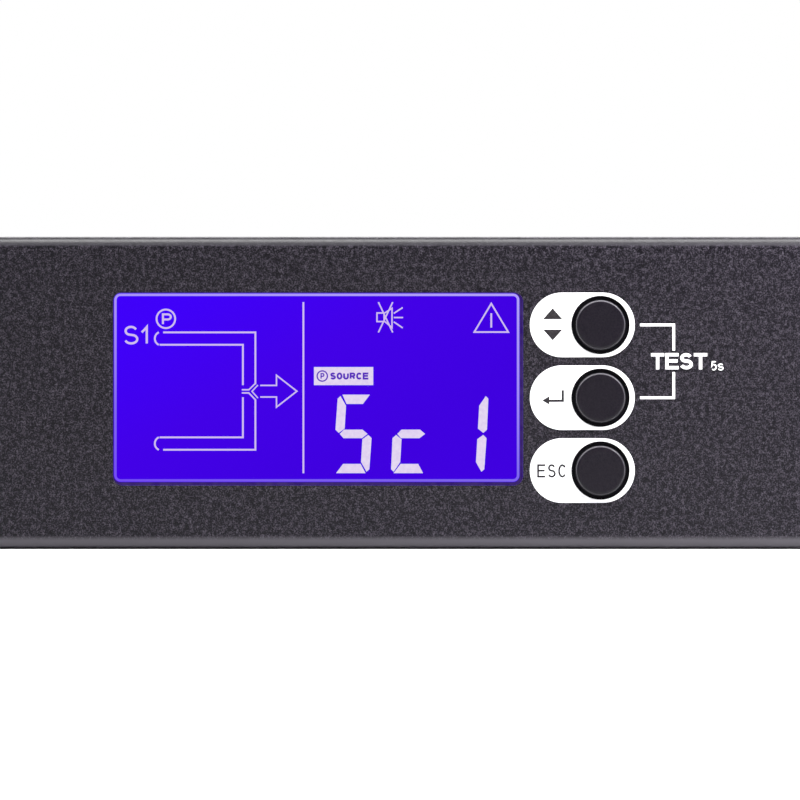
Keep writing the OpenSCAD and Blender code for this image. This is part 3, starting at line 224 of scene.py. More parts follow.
lens_lo, lens_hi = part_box("display_lens")
cell_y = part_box("display_cell")[0].y
front_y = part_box("base_tray")[0].y
lens_flange = 2.6 * mm
glass_x = (lens_lo.x + lens_hi.x) / 2
glass_z = (lens_lo.z + lens_hi.z) / 2
glass_w = lens_hi.x - lens_lo.x - 2 * lens_flange
glass_h = lens_hi.z - lens_lo.z - 2 * lens_flange


def glow(name, colour):
    """A material that gives light of its own."""
    material, tree, shader = new_material(name, (0.0, 0.0, 0.0), 0.6, specular=0.0)
    shader.inputs["Emission Color"].default_value = (*colour, 1)
    shader.inputs["Emission Strength"].default_value = 1.0
    return material, tree, shader


def vary_glow(tree, shader, source, stops):
    """The colour of a glow, from a texture."""
    tree.links.new(ramp(tree, source, stops), shader.inputs["Emission Color"])


clear, tree, shader = new_material("clear_acrylic", (1, 1, 1), 0.0)
shader.inputs["Transmission Weight"].default_value = 1.0
shader.inputs["IOR"].default_value = 1.04
dress(clear, "display_lens")

# The light box is a little brighter at its upper left, so the field is never quite even
field, tree, shader = glow("display_field", (0.056, 0.0004, 0.78))
vary_glow(tree, shader, spread(tree, along(tree, (-8.0, 0.0, 14.0)), 0, 1, 0.25, 0.75), [
    (0.0, (0.050, 0.0004, 0.74)), (0.5, (0.055, 0.0004, 0.80)), (1.0, (0.050, 0.0004, 0.95)),
])
dress(field, "display_cell")


def flat_outline(points):
    """A flat closed outline in X and Z as a mesh in the making, from points in millimetres."""
    shape = bmesh.new()
    shape.faces.new([shape.verts.new((x * mm, 0, z * mm)) for x, z in points])
    return shape


def stroke(points, width, closed=False):
    """A line of even width with mitred corners, as four-sided pieces."""
    least_mitre = 0.3
    shape = bmesh.new()
    points = [Vector(p) for p in points]
    count = len(points)
    sides = []
    for i, point in enumerate(points):
        headings = []
        if closed or i > 0:
            headings.append((point - points[i - 1]).normalized())
        if closed or i < count - 1:
            headings.append((points[(i + 1) % count] - point).normalized())
        normals = [Vector((-h.y, h.x)) for h in headings]
        middle = sum(normals, Vector((0, 0))).normalized()
        reach = middle * (width / 2 / max(least_mitre, middle.dot(normals[0])))
        edges = (point + reach, point - reach)
        sides.append([shape.verts.new((edge.x * mm, 0, edge.y * mm)) for edge in edges])
    for i in range(count if closed else count - 1):
        a, b = sides[i], sides[(i + 1) % count]
        shape.faces.new((a[0], b[0], b[1], a[1]))
    return shape


def oval(cx, cz, rx, rz, start, end, steps=14):
    """Points along part of an oval, angles in degrees."""
    turns = [math.radians(start + (end - start) * i / steps) for i in range(steps + 1)]
    return [(cx + rx * math.cos(t), cz + rz * math.sin(t)) for t in turns]


def arc(cx, cz, radius, start, end, steps=20):
    """Points along an arc, angles in degrees."""
    return oval(cx, cz, radius, radius, start, end, steps)


def ring(cx, cz, radius, steps=24):
    """Points round a circle, without the first again at the end."""
    return arc(cx, cz, radius, 0, 360 - 360 / steps, steps - 1)


# Letters drawn in strokes, on a square whose sides are 1
GLYPHS = {
    "1": [[(0.0, 0.68), (0.45, 0.83), (0.86, 1.0), (0.86, 0.0)]],
    "5": [[(0.92, 1.0), (0.2, 1.0), (0.08, 0.46)] + oval(0.48, 0.33, 0.5, 0.33, 118, -128)],
    "C": [oval(0.52, 0.5, 0.52, 0.5, 38, 322, 22)],
    "O": [ring(0.5, 0.5, 0.5)],
    "P": [[(0.0, 0.0), (0.0, 1.0)] + oval(0.6, 0.735, 0.4, 0.265, 90, -90) + [(0.0, 0.47)]],
    "S": [oval(0.49, 0.755, 0.43, 0.245, 22, 238) + oval(0.51, 0.26, 0.49, 0.26, 62, -160)],
    "U": [[(0.0, 1.0), (0.0, 0.36)] + oval(0.5, 0.36, 0.5, 0.36, 180, 360) + [(1.0, 1.0)]],
}
GLYPHS["R"] = GLYPHS["P"] + [[(0.52, 0.47), (1.0, 0.0)]]

# Letters with square corners, as one outline: each point names its column and its row
BLOCKS = {
    "E": "LF RF Rf lf lc rc rC lC lh Rh RH LH",
    "T": "LH Lh mh mF MF Mh Rh RH",
}
SHORT_BAR = 0.93
BAR_HEIGHT = 0.52


def letter(name, left, foot, width, height, line):
    """One letter in lines of even width, inside the box given in millimetres."""
    across, up = width - line, height - line
    if name in BLOCKS:
        columns = {
            "L": 0.0, "l": line, "m": across / 2, "M": (width + line) / 2, "r": width * SHORT_BAR, "R": width,
        }
        bar = height * BAR_HEIGHT
        rows = {"F": 0.0, "f": line, "c": bar - line / 2, "C": bar + line / 2, "h": up, "H": height}
        return [flat_outline([(left + columns[a], foot + rows[b]) for a, b in BLOCKS[name].split()])]
    shapes = []
    for path in GLYPHS[name]:
        points = [(left + line / 2 + x * across, foot + line / 2 + z * up) for x, z in path]
        shapes.append(stroke(points, line, closed=name == "O"))
    return shapes


def word(text, left, foot, width, height, line, gap):
    """A row of letters of equal width with equal gaps."""
    each = (width - gap * (len(text) - 1)) / len(text)
    shapes = []
    for i, name in enumerate(text):
        shapes += letter(name, left + i * (each + gap), foot, each, height, line)
    return shapes


def finish_piece(name, shape, material, body="case"):
    """Turns a mesh in the making into a piece that rides on a body."""
    bmesh.ops.recalc_face_normals(shape, faces=shape.faces)
    mesh = bpy.data.meshes.new(name)
    shape.to_mesh(mesh)
    shape.free()
    mesh.materials.append(material)
    piece = bpy.data.objects.new(name, mesh)
    bpy.context.scene.collection.objects.link(piece)
    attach(piece, body)


def lay_flat(name, shapes, origin, material, thickness):
    """Joins flat shapes into one thin piece whose face looks to the front at origin."""
    whole = bmesh.new()
    for shape in shapes:
        part = bpy.data.meshes.new("part")
        shape.to_mesh(part)
        shape.free()
        whole.from_mesh(part)
        bpy.data.meshes.remove(part)
    bmesh.ops.remove_doubles(whole, verts=whole.verts, dist=0.0001 * mm)
    bmesh.ops.recalc_face_normals(whole, faces=whole.faces)
    for face in whole.faces:
        if face.normal.y > 0:
            face.normal_flip()
    bmesh.ops.solidify(whole, geom=whole.faces[:], thickness=thickness)
    for face in whole.faces:
        face.smooth = False
    nearest = min(v.co.y for v in whole.verts)
    bmesh.ops.translate(whole, verts=whole.verts, vec=Vector(origin) - Vector((0, nearest, 0)))
    finish_piece(name, whole, material)


# Each lit shape is a thin film just before the cell. Places on the glass are in millimetres
# from its middle.
line_w, fine_w = 0.25, 0.2
film = 0.01 * mm
lit, tree, shader = glow("lit_segments", (0.66, 0.50, 0.86))
on_cell = Vector((glass_x, cell_y - 2 * film, glass_z))

# The mimic diagram: two source pipes that meet at a switch and an arrow to the load
pipe = 0.865
outer_x, inner_x, pipe_start = -8.60, -10.35, -21.5
mimic = []
for level, turn, far_end, near_end in ((6.86, 1, 0.45, 0.35), (-7.82, -1, -1.65, -1.35)):
    far, near = level + turn * pipe, level - turn * pipe
    mimic.append(stroke([(pipe_start, far), (outer_x, far), (outer_x, far_end)], line_w))
    mimic.append(stroke([(pipe_start - 0.5, near), (inner_x, near), (inner_x, near_end)], line_w))
    mimic.append(stroke(arc(pipe_start - 0.2, level, pipe + 0.1, 115, 245), line_w))
mimic += [
    stroke([(-10.50, -0.30), (-9.52, -0.30), (-8.57, 0.62)], fine_w),
    stroke([(-10.50, -0.74), (-9.52, -0.74), (-8.57, -1.74)], fine_w),
    stroke([(-8.25, 0.36), (-9.08, -0.52), (-8.25, -1.45)], 0.175),
    stroke([
        (-7.93, 0.31), (-5.65, 0.31), (-5.65, 1.72), (-2.80, -0.50),
        (-5.65, -2.72), (-5.65, -1.31), (-7.93, -1.31),
    ], fine_w),
    stroke([(-1.89, 11.95), (-1.89, -11.97)], line_w),
    *letter("S", -27.01, 6.03, 2.05, 2.62, 0.31),
    *letter("1", -24.65, 6.03, 1.13, 2.60, 0.31),
    stroke(ring(-21.12, 9.62, 1.30, 36), line_w, closed=True),
    *letter("P", -21.67, 8.75, 1.38, 1.64, 0.28),
]
lay_flat("mimic_diagram", mimic, on_cell, lit, film)

# The icons in the upper row: a muted sounder and an alert triangle
icons = [
    stroke([(8.40, 9.24), (9.40, 9.24), (9.40, 10.44), (8.40, 10.44)], fine_w, closed=True),
    stroke([(9.50, 10.44), (10.50, 11.10), (10.50, 8.40), (9.50, 9.24)], fine_w),
    stroke([(8.60, 11.95), (10.60, 7.72)], fine_w),
    stroke([(10.60, 11.95), (8.60, 7.72)], fine_w),
    stroke([(10.75, 10.38), (12.00, 11.2)], fine_w),
    stroke([(10.75, 9.80), (12.05, 9.80)], fine_w),
    stroke([(10.75, 9.20), (12.00, 8.35)], fine_w),
    stroke([(24.38, 11.75), (22.00, 7.77), (26.76, 7.77)], 0.225, closed=True),
    stroke([(24.38, 10.40), (24.38, 8.40)], line_w),
]
lay_flat("display_icons", icons, on_cell, lit, film)


def segments(centre_x, centre_z, shown):
    """A seven-segment character made of the segments named in shown.

    They are a at the top, b and c at the right, d at the foot, e and f at the left, and g
    in the middle. Their ends are cut so that neighbours keep a thin gap.
    """
    half_w, half_h, bar, gap, slant = 2.42, 5.49, 1.30, 0.14, 0.058
    inner_w, inner_h = half_w - bar, half_h - bar
    shapes = {
        "a": [
            (-half_w + 0.55, half_h), (half_w - 0.45, half_h),
            (inner_w - 0.05, inner_h), (-inner_w - 0.1, inner_h),
        ],
        "b": [
            (half_w + 0.08, half_h - 0.55), (half_w + 0.14, gap + 0.45), (half_w - 0.35, gap),
            (inner_w + 0.16, gap + 0.6), (inner_w + 0.16, inner_h - 0.25), (half_w - 0.3, half_h - 0.2),
        ],
        "d": [
            (-half_w + 0.3, -half_h), (half_w - 0.42, -half_h),
            (inner_w + 0.12, -inner_h), (-inner_w - 0.1, -inner_h),
        ],
        "g": [
            (-half_w + 0.5, 0), (-inner_w - 0.25, 0.6), (inner_w + 0.1, 0.6),
            (half_w - 0.45, 0), (inner_w + 0.1, -0.6), (-inner_w - 0.25, -0.6),
        ],
    }
    shapes["c"] = [(x, -z) for x, z in reversed(shapes["b"])]
    shapes["e"] = [(-x, -z) for x, z in shapes["b"]]
    shapes["f"] = [(-x, z) for x, z in reversed(shapes["b"])]
    return [
        flat_outline([(centre_x + x + z * slant, centre_z + z) for x, z in shapes[name]]) for name in shown
    ]


characters = segments(5.12, -6.47, "afgcd") + segments(13.16, -6.47, "ged") + segments(21.19, -6.47, "bc")
bright, tree, shader = glow("lit_characters", (0.76, 0.66, 0.88))
vary_glow(tree, shader, noise(tree, 2500), [(0.3, (0.72, 0.61, 0.86)), (0.7, (0.80, 0.71, 0.90))])
lay_flat("lit_characters", characters, on_cell, bright, film)

# The lit word field with its dark letters
word_field = [flat_outline([(-0.41, 0.35), (7.88, 0.35), (7.88, 2.88), (-0.41, 2.88)])]
lay_flat("word_field", word_field, on_cell, bright, film)
unlit, tree, shader = glow("unlit_letters", (0.10, 0.03, 0.50))
letters = [
    stroke(ring(0.75, 1.62, 0.72), 0.18, closed=True),
    *letter("P", 0.50, 1.18, 0.56, 0.86, 0.17),
    *word("SOURCE", 1.85, 1.13, 5.35, 0.98, 0.26, 0.11),
]
lay_flat("word_letters", letters, on_cell - Vector((0, 2 * film, 0)), unlit, film)


def round_corners(half_w, half_h, radius):
    """Points round a rectangle with round corners."""
    points = []
    for sx, sz, start in ((1, 1, 0), (-1, 1, 90), (-1, -1, 180), (1, -1, 270)):
        points += arc(sx * (half_w - radius), sz * (half_h - radius), radius, start, start + 90, 6)
    return points


def band(outer, inner):
    """A flat ring between two outlines with equal numbers of points."""
    shape = bmesh.new()
    loops = [[shape.verts.new((x * mm, 0, z * mm)) for x, z in loop] for loop in (outer, inner)]
    for i in range(len(outer)):
        j = (i + 1) % len(outer)
        shape.faces.new((loops[0][i], loops[0][j], loops[1][j], loops[1][i]))
    return shape


# The lit rim: the chamfered edge of the lens throws the backlight forwards, most at its top
rim_w, rim_inset, rim_depth, rim_t = 0.34, 0.08, 0.03 * mm, 0.02 * mm
half_w, half_h, corner = glass_w / mm / 2, glass_h / mm / 2, 0.95
rim, tree, shader = glow("lit_rim", (0.42, 0.28, 0.95))
vary_glow(tree, shader, spread(tree, along(tree, (4.0, 0.0, 24.0)), 0, 1, 0.05, 0.90), [
    (0.0, (0.17, 0.07, 0.90)), (0.3, (0.22, 0.14, 0.85)),
    (0.6, (0.36, 0.25, 0.93)), (1.0, (0.45, 0.35, 0.93)),
])
rim_edges = [
    round_corners(half_w - inset, half_h - inset, corner - inset) for inset in (rim_inset, rim_inset + rim_w)
]
in_lens = (glass_x, front_y + rim_depth, glass_z)
lay_flat("lens_rim", [band(*rim_edges)], in_lens, rim, rim_t)

# Round the lens, in the gap to the window, its flange is only dimly lit. The gap is wider
# at the right and the foot, because the lens sits at the upper left of its window.
window_play, narrow_gap, window_corner, flange_depth = 0.53, 0.1, corner + 0.13, 1.1 * mm
dim, tree, shader = glow("dim_flange", (0.045, 0.022, 0.15))
vary_glow(tree, shader, noise(tree, 900), [(0.3, (0.035, 0.014, 0.14)), (0.7, (0.055, 0.03, 0.15))])
shift = window_play / 2 - narrow_gap
window = [
    (x + shift, z - shift)
    for x, z in round_corners(half_w + window_play / 2, half_h + window_play / 2, window_corner)
]
gap_ring = band(window, round_corners(half_w + 0.01, half_h + 0.01, corner))
on_flange = (glass_x, front_y + flange_depth, glass_z)
lay_flat("lens_gap", [gap_ring], on_flange, dim, rim_t)

# ------------------------------------------------------------------ keys
# Three round caps moulded in black plastic slide in the collars of a guide plate. Grey
# legends are printed on the white fields beside them: arrows, a return arrow and ESC.


def centre(name):
    """The middle of a CAD node's box."""
    lo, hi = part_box(name)
    return (lo + hi) / 2


key_black, tree, shader = new_material("key_black", (0.006, 0.005, 0.008), 0.25, specular=0.2)
fine = noise(tree, 5000)
moulded = ramp(tree, fine, [(0.3, (0.006, 0.0049, 0.008)), (0.7, (0.010, 0.0081, 0.012))])
bump(tree, shader, fine, 0.01 * mm, 0.3)
# The edge of each cap's face is painted paler, a painted highlight where its rounded edge catches the light:
# a ring at edge_r from its axis.
# Wrapping heights by the pitch of the keys gives all three caps the same ring.
edge_r, edge_w = 3.45 * mm, 0.3 * mm
enter_at = centre("key_enter")
key_pitch = centre("key_up_down").z - enter_at.z
from_enter = vector_step(tree, "SUBTRACT", on_object(tree), enter_at)
from_key = vector_step(tree, "WRAP", from_enter, (1, 1, key_pitch / 2), (-1, -1, -key_pitch / 2))
from_axis = vector_step(tree, "LENGTH", vector_step(tree, "MULTIPLY", from_key, (1, 0, 1)))
key_edge_highlight = ramp(tree, spread(tree, from_axis, 0, 1, edge_r - edge_w, edge_r + edge_w), [
    (0.15, (0, 0, 0)), (0.42, (1, 1, 1)), (0.58, (1, 1, 1)), (0.85, (0, 0, 0)),
])
paint_highlight(tree, shader, key_edge_highlight, moulded, (0.06, 0.056, 0.066))
dress(key_black, "key_up_down", "key_enter", "key_escape")

guide_black, tree, shader = new_material("guide_black", (0.004, 0.0035, 0.005), 0.6, specular=0.06)
tint(tree, shader, noise(tree, 3000), (0.002, 0.002, 0.003), (0.006, 0.005, 0.007))
dress(guide_black, "key_guide", "key_switches")

ivory, tree, shader = new_material("ivory_plunger", (0.72, 0.68, 0.58), 0.45)
tint(tree, shader, noise(tree, 1200), (0.66, 0.62, 0.52), (0.76, 0.72, 0.62))
dress(ivory, "plunger_up_down", "plunger_enter", "plunger_escape")

legend_ink, tree, shader = new_material("legend_ink", (0.026, 0.024, 0.026), 0.6, specular=0.05)
tint(tree, shader, noise(tree, 3000), (0.02, 0.018, 0.02), (0.034, 0.031, 0.034))
legend_t = 0.02 * mm
print_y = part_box("panel_print")[0].y


def print_legend(name, shapes, key):
    """Prints a legend on a key's white field, its places in millimetres from the key's axis."""
    at = centre(key)
    lay_flat(name, shapes, (at.x, print_y - legend_t, at.z), legend_ink, legend_t)


print_legend("legend_up_down", [
    flat_outline([(-8.02, 0.80), (-5.32, 0.80), (-6.67, 2.34)]),
    flat_outline([(-6.67, -2.16), (-5.32, -0.65), (-8.02, -0.65)]),
], "key_up_down")
print_legend("legend_enter", [
    stroke([(-5.26, 1.05), (-5.26, -0.43), (-7.2, -0.43)], 0.31),
    flat_outline([(-7.15, 0.20), (-8.15, -0.38), (-7.15, -0.96)]),
], "key_enter")
print_legend("legend_escape", word("ESC", -8.84, -0.98, 4.06, 1.86, 0.26, 0.34), "key_escape")

# The words in the bracket say to hold the upper two keys for five seconds
words_t = 0.05 * mm
test_words = [
    *word("TEST", 32.52, 25.12, 7.84, 2.27, 0.46, 0.14),
    *letter("5", 40.86, 24.97, 0.84, 1.30, 0.18),
    *letter("S", 41.82, 24.97, 0.84, 0.96, 0.17),
]
lay_flat("test_words", test_words, (0, front_y - words_t, 0), ink, words_t)

# ------------------------------------------------------------------ inlets and outlets
# Black glass-filled nylon, moulded with a fine spark-eroded surface, snapped into the rear
# wall. The inlets' pins are nickel-plated brass, and tinned tabs stand behind the outlets.

small_outlets = [f"outlet_{i}" for i in range(1, 9)]
nylon, tree, shader = new_material("socket_nylon", (0.018, 0.018, 0.019), 0.5, specular=0.4)
erosion = noise(tree, 2600, 3.0)
tint(tree, shader, erosion, (0.013, 0.013, 0.014), (0.026, 0.026, 0.028))
bump(tree, shader, erosion, 0.03 * mm, 0.5)
dress(nylon, "inlet_a", "inlet_b", "outlet_large", *small_outlets)

pin_metal, tree, shader = new_material("nickel_pins", (0.66, 0.62, 0.52), 0.24, metallic=1.0)
tint(tree, shader, noise(tree, 900, 3.0), (0.58, 0.53, 0.42), (0.72, 0.69, 0.6))
dress(pin_metal, "inlet_pins_a", "inlet_pins_b")

tin, tree, shader = new_material("tinned_metal", (0.62, 0.62, 0.64), 0.36, metallic=1.0)
tint(tree, shader, noise(tree, 700, 3.0), (0.5, 0.5, 0.52), (0.68, 0.68, 0.7))
dress(tin, "outlet_tabs", "serial_port", "usb_port")


def block(shape, low, high, cut=0.0):
    """Adds a block between two corners, its long edges along Y bevelled by cut."""
    made = bmesh.ops.create_cube(shape, size=1.0)["verts"]
    low, high = Vector(low), Vector(high)
    bmesh.ops.scale(shape, verts=made, vec=high - low)
    bmesh.ops.translate(shape, verts=made, vec=(low + high) / 2)
    if cut:
        edges = dict.fromkeys(edge for vert in made for edge in vert.link_edges)
        lengthways = [e for e in edges if abs((e.verts[0].co - e.verts[1].co).normalized().y) > 0.9]
        bmesh.ops.bevel(
            shape, geom=lengthways, offset=cut, segments=2, profile=0.5, affect="EDGES", material=-1,
        )


# Two tinned spring leaves stand in each slot and grip the plug's pin between them
leaf_t, leaf_cut = 0.3 * mm, 0.1 * mm
leaf_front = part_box("outlet_1")[1].y - 3.0 * mm
leaf_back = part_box("outlet_1")[1].y - 14.5 * mm


def leaf(shape, x, z, width, height):
    """Adds a spring leaf along Y with its middle at x and z."""
    low = (x - width / 2, leaf_back, z - height / 2)
    block(shape, low, (x + width / 2, leaf_front, z + height / 2), leaf_cut)


leaves = bmesh.new()
for outlet in small_outlets:
    at = centre(outlet)
    for slot_x, slot_z in ((-2, 7), (-2, -7), (2, 0)):
        for side in (-1, 1):
            leaf(leaves, at.x + slot_x * mm, at.z + (slot_z + side * 0.95) * mm, 4 * mm, leaf_t)
at = centre("outlet_large")
for slot_x, slot_z in ((-4, 6.5), (-4, -6.5), (4, 0)):
    for side in (-1, 1):
        leaf(leaves, at.x + (slot_x + side * 1.05) * mm, at.z + slot_z * mm, leaf_t, 7.8 * mm)
finish_piece("outlet_springs", leaves, tin)

copper, tree, shader = new_material("copper_bar", (0.72, 0.38, 0.22), 0.34, metallic=1.0)
tint(tree, shader, noise(tree, 260, 4.0), (0.6, 0.29, 0.16), (0.78, 0.43, 0.27))
dress(copper, "live_bar", "neutral_bar", "earth_bar")

# ------------------------------------------------------------------ ports
# The serial socket has a black moulding with gilded contacts in its plated shell; the square
# socket beside it has a white tongue with four gilded strips. Both are soldered to a board.

gilt, tree, shader = new_material("gilded_contacts", (0.8, 0.58, 0.24), 0.22, metallic=1.0)
tint(tree, shader, noise(tree, 1800), (0.74, 0.52, 0.2), (0.86, 0.65, 0.3))

serial_at = centre("serial_port")
nose_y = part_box("serial_port")[1].y
half_top, half_foot, half_rise, chamfer = 8.2, 6.9, 3.9, 1.2
right_side = [
    (half_top - chamfer, half_rise), (half_top, half_rise - chamfer),
    (half_foot, -half_rise + chamfer), (half_foot - chamfer, -half_rise),
]
insulator = flat_outline(right_side + [(-x, z) for x, z in reversed(right_side)])
insulator_t = 0.1 * mm
in_nose = (serial_at.x, nose_y + 0.01 * mm, serial_at.z)
lay_flat("serial_insulator", [insulator], in_nose, nylon, insulator_t)

# Nine contacts in rows of five and four, each a gilded ring round its bore; each bore is a near-black disc,
# painted shade for the hole
contact_pitch, contact_r, bore_r = 2.77, 0.66, 0.42
contact_rings, bore_shade_discs = [], []
for row, count in ((0, 5), (1, 4)):
    for i in range(count):
        x, z = (i - 2 + row / 2) * contact_pitch, (0.5 - row) * contact_pitch
        contact_rings.append(band(ring(x, z, contact_r), ring(x, z, bore_r)))
        bore_shade_discs.append(flat_outline(ring(x, z, bore_r)))
on_nose = (serial_at.x, nose_y + insulator_t, serial_at.z)
lay_flat("serial_contacts", contact_rings, on_nose, gilt, 0.05 * mm)
lay_flat("serial_bore_shade", bore_shade_discs, on_nose, guide_black, 0.02 * mm)

usb_at = centre("usb_port")
wall_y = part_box("base_tray")[1].y
tongue_white, tree, shader = new_material("tongue_white", (0.75, 0.75, 0.73), 0.4)
tint(tree, shader, noise(tree, 1500), (0.7, 0.7, 0.68), (0.79, 0.79, 0.77))


def in_usb(shape, x, z, half_w, half_h, front, back, cut=0.0):
    """Adds a block in the square socket: places in millimetres from its middle and the rear wall."""
    low = (usb_at.x + (x - half_w) * mm, wall_y - back * mm, usb_at.z + (z - half_h) * mm)
    high = (usb_at.x + (x + half_w) * mm, wall_y - front * mm, usb_at.z + (z + half_h) * mm)
    block(shape, low, high, cut * mm)


tongue = bmesh.new()
in_usb(tongue, 0, 0, 2.9, 1.7, 0.3, 8.8, 0.3)
finish_piece("usb_tongue", tongue, tongue_white)
strips = bmesh.new()
for side in (-1, 1):
    for level in (-1, 1):
        in_usb(strips, side * 1.25, level * 1.75, 0.5, 0.12, 0.8, 8.0)
finish_piece("usb_contacts", strips, gilt)

# ------------------------------------------------------------------ rear print
# Small white figures are screen printed on the rear wall: A and B over the inlets, 1 to 8
# over the outlets they number.

GLYPHS.update({
    "2": [oval(0.5, 0.72, 0.46, 0.28, 160, -30) + [(0.04, 0.0), (0.96, 0.0)]],
    "3": [oval(0.46, 0.76, 0.44, 0.24, 150, -80), oval(0.46, 0.27, 0.5, 0.27, 88, -150)],
    "4": [[(0.74, 0.0), (0.74, 1.0), (0.0, 0.3), (1.0, 0.3)]],
    "6": [oval(0.56, 0.6, 0.52, 0.4, 50, 180) + oval(0.5, 0.3, 0.46, 0.3, 180, -180)],
    "7": [[(0.0, 1.0), (1.0, 1.0), (0.36, 0.0)]],
    "8": [oval(0.5, 0.77, 0.4, 0.23, 270, 610), oval(0.5, 0.27, 0.48, 0.27, 90, 430)],
    "A": [[(0.0, 0.0), (0.5, 1.0), (1.0, 0.0)], [(0.18, 0.32), (0.82, 0.32)]],
    "B": [
        [(0.0, 0.0), (0.0, 1.0)] + oval(0.55, 0.76, 0.4, 0.24, 90, -90) + [(0.0, 0.52)],
        oval(0.55, 0.26, 0.45, 0.26, 90, -90) + [(0.0, 0.0)],
    ],
})


def facing_rear(shapes):
    """Turns shapes round so that they read from behind."""
    for shape in shapes:
        bmesh.ops.scale(shape, verts=shape.verts, vec=(-1, 1, 1))
    return shapes


figure_w, figure_h, figure_line, figure_gap, figure_t = 1.5, 2.2, 0.3, 0.9, 0.03
figures = []
for figure, node in [("A", "inlet_a"), ("B", "inlet_b"), *zip("12345678", small_outlets)]:
    left = -centre(node).x / mm - figure_w / 2
    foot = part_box(node)[1].z / mm + figure_gap
    figures += letter(figure, left, foot, figure_w, figure_h, figure_line)
on_wall = (0, wall_y + 0.01 * mm, 0)
lay_flat("rear_figures", facing_rear(figures), on_wall, ink, figure_t * mm)

# ------------------------------------------------------------------ breakers and earth
# Two push-to-reset breakers with black moulded bodies and off-white reset buttons, and a
# yellow-passivated earth stud with its nut.

breaker_black, tree, shader = new_material("breaker_phenolic", (0.02, 0.02, 0.021), 0.42, specular=0.4)
tint(tree, shader, noise(tree, 2000, 3.0), (0.014, 0.014, 0.015), (0.028, 0.028, 0.03))
dress(breaker_black, "breaker_a", "breaker_b")

reset_white, tree, shader = new_material("reset_white", (0.78, 0.76, 0.71), 0.42)
tint(tree, shader, noise(tree, 1400), (0.72, 0.70, 0.65), (0.81, 0.79, 0.74))
dress(reset_white, "reset_a", "reset_b")

brass, tree, shader = new_material("yellow_brass", (0.66, 0.5, 0.24), 0.3, metallic=1.0)
tint(tree, shader, noise(tree, 900, 3.0), (0.56, 0.41, 0.18), (0.72, 0.56, 0.3))
dress(brass, "earth_nut")


def thread(tree, shader, pitch, depth):
    """Relief of a rolled thread about an axis along Y."""
    radians_per_metre = 20  # what a wave texture of scale 1 runs through
    wave = tree.nodes.new("ShaderNodeTexWave")
    wave.wave_type = "BANDS"
    wave.bands_direction = "Y"
    wave.inputs["Scale"].default_value = 2 * math.pi / radians_per_metre / pitch
    wave.inputs["Distortion"].default_value = 0.0
    tree.links.new(on_object(tree), wave.inputs["Vector"])
    bump(tree, shader, wave.outputs["Fac"], depth)


threaded_brass, tree, shader = new_material("threaded_brass", (0.66, 0.5, 0.24), 0.3, metallic=1.0)
tint(tree, shader, noise(tree, 900, 3.0), (0.54, 0.4, 0.18), (0.7, 0.54, 0.28))
thread(tree, shader, 0.8 * mm, 0.4 * mm)
dress(threaded_brass, "earth_stud")

# ------------------------------------------------------------------ power electronics
# Green glass-fibre boards, plain aluminium extrusions with their thyristors, blue relays,
# wound transformers, sleeved capacitors and silicone-insulated wires.

solder_mask, tree, shader = new_material("solder_mask", (0.016, 0.11, 0.045), 0.32)
weave = noise(tree, 240, 3.0, stretch=(1, 3, 1))
tint(tree, shader, weave, (0.012, 0.085, 0.035), (0.025, 0.15, 0.06), 0.42, 0.52)
dress(solder_mask, "display_board", "power_board")

sink_metal, tree, shader = new_material("sink_aluminium", (0.6, 0.61, 0.63), 0.38, metallic=1.0)
drawn = noise(tree, 60, 3.0, stretch=(0.05, 40, 40))
tint(tree, shader, drawn, (0.5, 0.51, 0.53), (0.68, 0.69, 0.71))
bump(tree, shader, drawn, 0.03 * mm, 0.4)
dress(sink_metal, "heatsink_a", "heatsink_b")

epoxy, tree, shader = new_material("moulded_epoxy", (0.02, 0.02, 0.022), 0.5)
tint(tree, shader, noise(tree, 2600), (0.014, 0.014, 0.016), (0.03, 0.03, 0.032))
dress(epoxy, "thyristors", "supply_transformers")

relay_blue, tree, shader = new_material("relay_blue", (0.03, 0.07, 0.17), 0.35)
tint(tree, shader, noise(tree, 900), (0.025, 0.06, 0.15), (0.036, 0.08, 0.19))
dress(relay_blue, "relays")

# The sleeve of each capacitor leaves the top of its aluminium can bare
sleeve, tree, shader = new_material("capacitor_sleeve", (0.012, 0.014, 0.03), 0.3)
can_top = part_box("capacitors")[1].z
bare = spread(tree, along(tree, (0, 0, 1)), 0, 1, can_top - 0.4 * mm, can_top - 0.2 * mm)
tint(tree, shader, bare, (0.012, 0.014, 0.03), (0.62, 0.62, 0.64), 0.4, 0.6)
tree.links.new(bare, shader.inputs["Metallic"])
bump(tree, shader, noise(tree, 1200), 0.03 * mm, 0.4)
dress(sleeve, "capacitors")

light_box, tree, shader = new_material("light_box_white", (0.8, 0.8, 0.85), 0.5)
tint(tree, shader, noise(tree, 800), (0.74, 0.74, 0.8), (0.84, 0.84, 0.88))
dress(light_box, "display_backlight", "floor_liner")

# Each wire lies in one plane across the case, so its colour follows from its place in X:
# live and neutral side by side from each inlet, one from each breaker, three from an outlet
brown, blue, green = (0.11, 0.045, 0.025), (0.03, 0.09, 0.32), (0.10, 0.27, 0.05)
inlet_wire, outlet_wire, spare = 6.5 * mm, 9 * mm, 5 * mm
outlet_x = centre("outlet_8").x
wires = [(outlet_x + side * outlet_wire, tone) for side, tone in ((-1, brown), (0, blue), (1, green))]
for end in ("a", "b"):
    inlet_x = centre(f"inlet_{end}").x
    wires += [(inlet_x - inlet_wire, brown), (inlet_x + inlet_wire, blue)]
    wires.append((centre(f"breaker_{end}").x, brown))
wires.sort()
wire_skin, tree, shader = new_material("wire_skin", brown, 0.5)
lowest, highest = wires[0][0] - spare, wires[-1][0] + spare
edges = [lowest] + [(a[0] + b[0]) / 2 for a, b in zip(wires, wires[1:])]
colours = ramp(tree, spread(tree, along(tree, (1, 0, 0)), 0, 1, lowest, highest), [
    ((edge - lowest) / (highest - lowest), tone) for edge, (x, tone) in zip(edges, wires)
])
colours.node.color_ramp.interpolation = "CONSTANT"
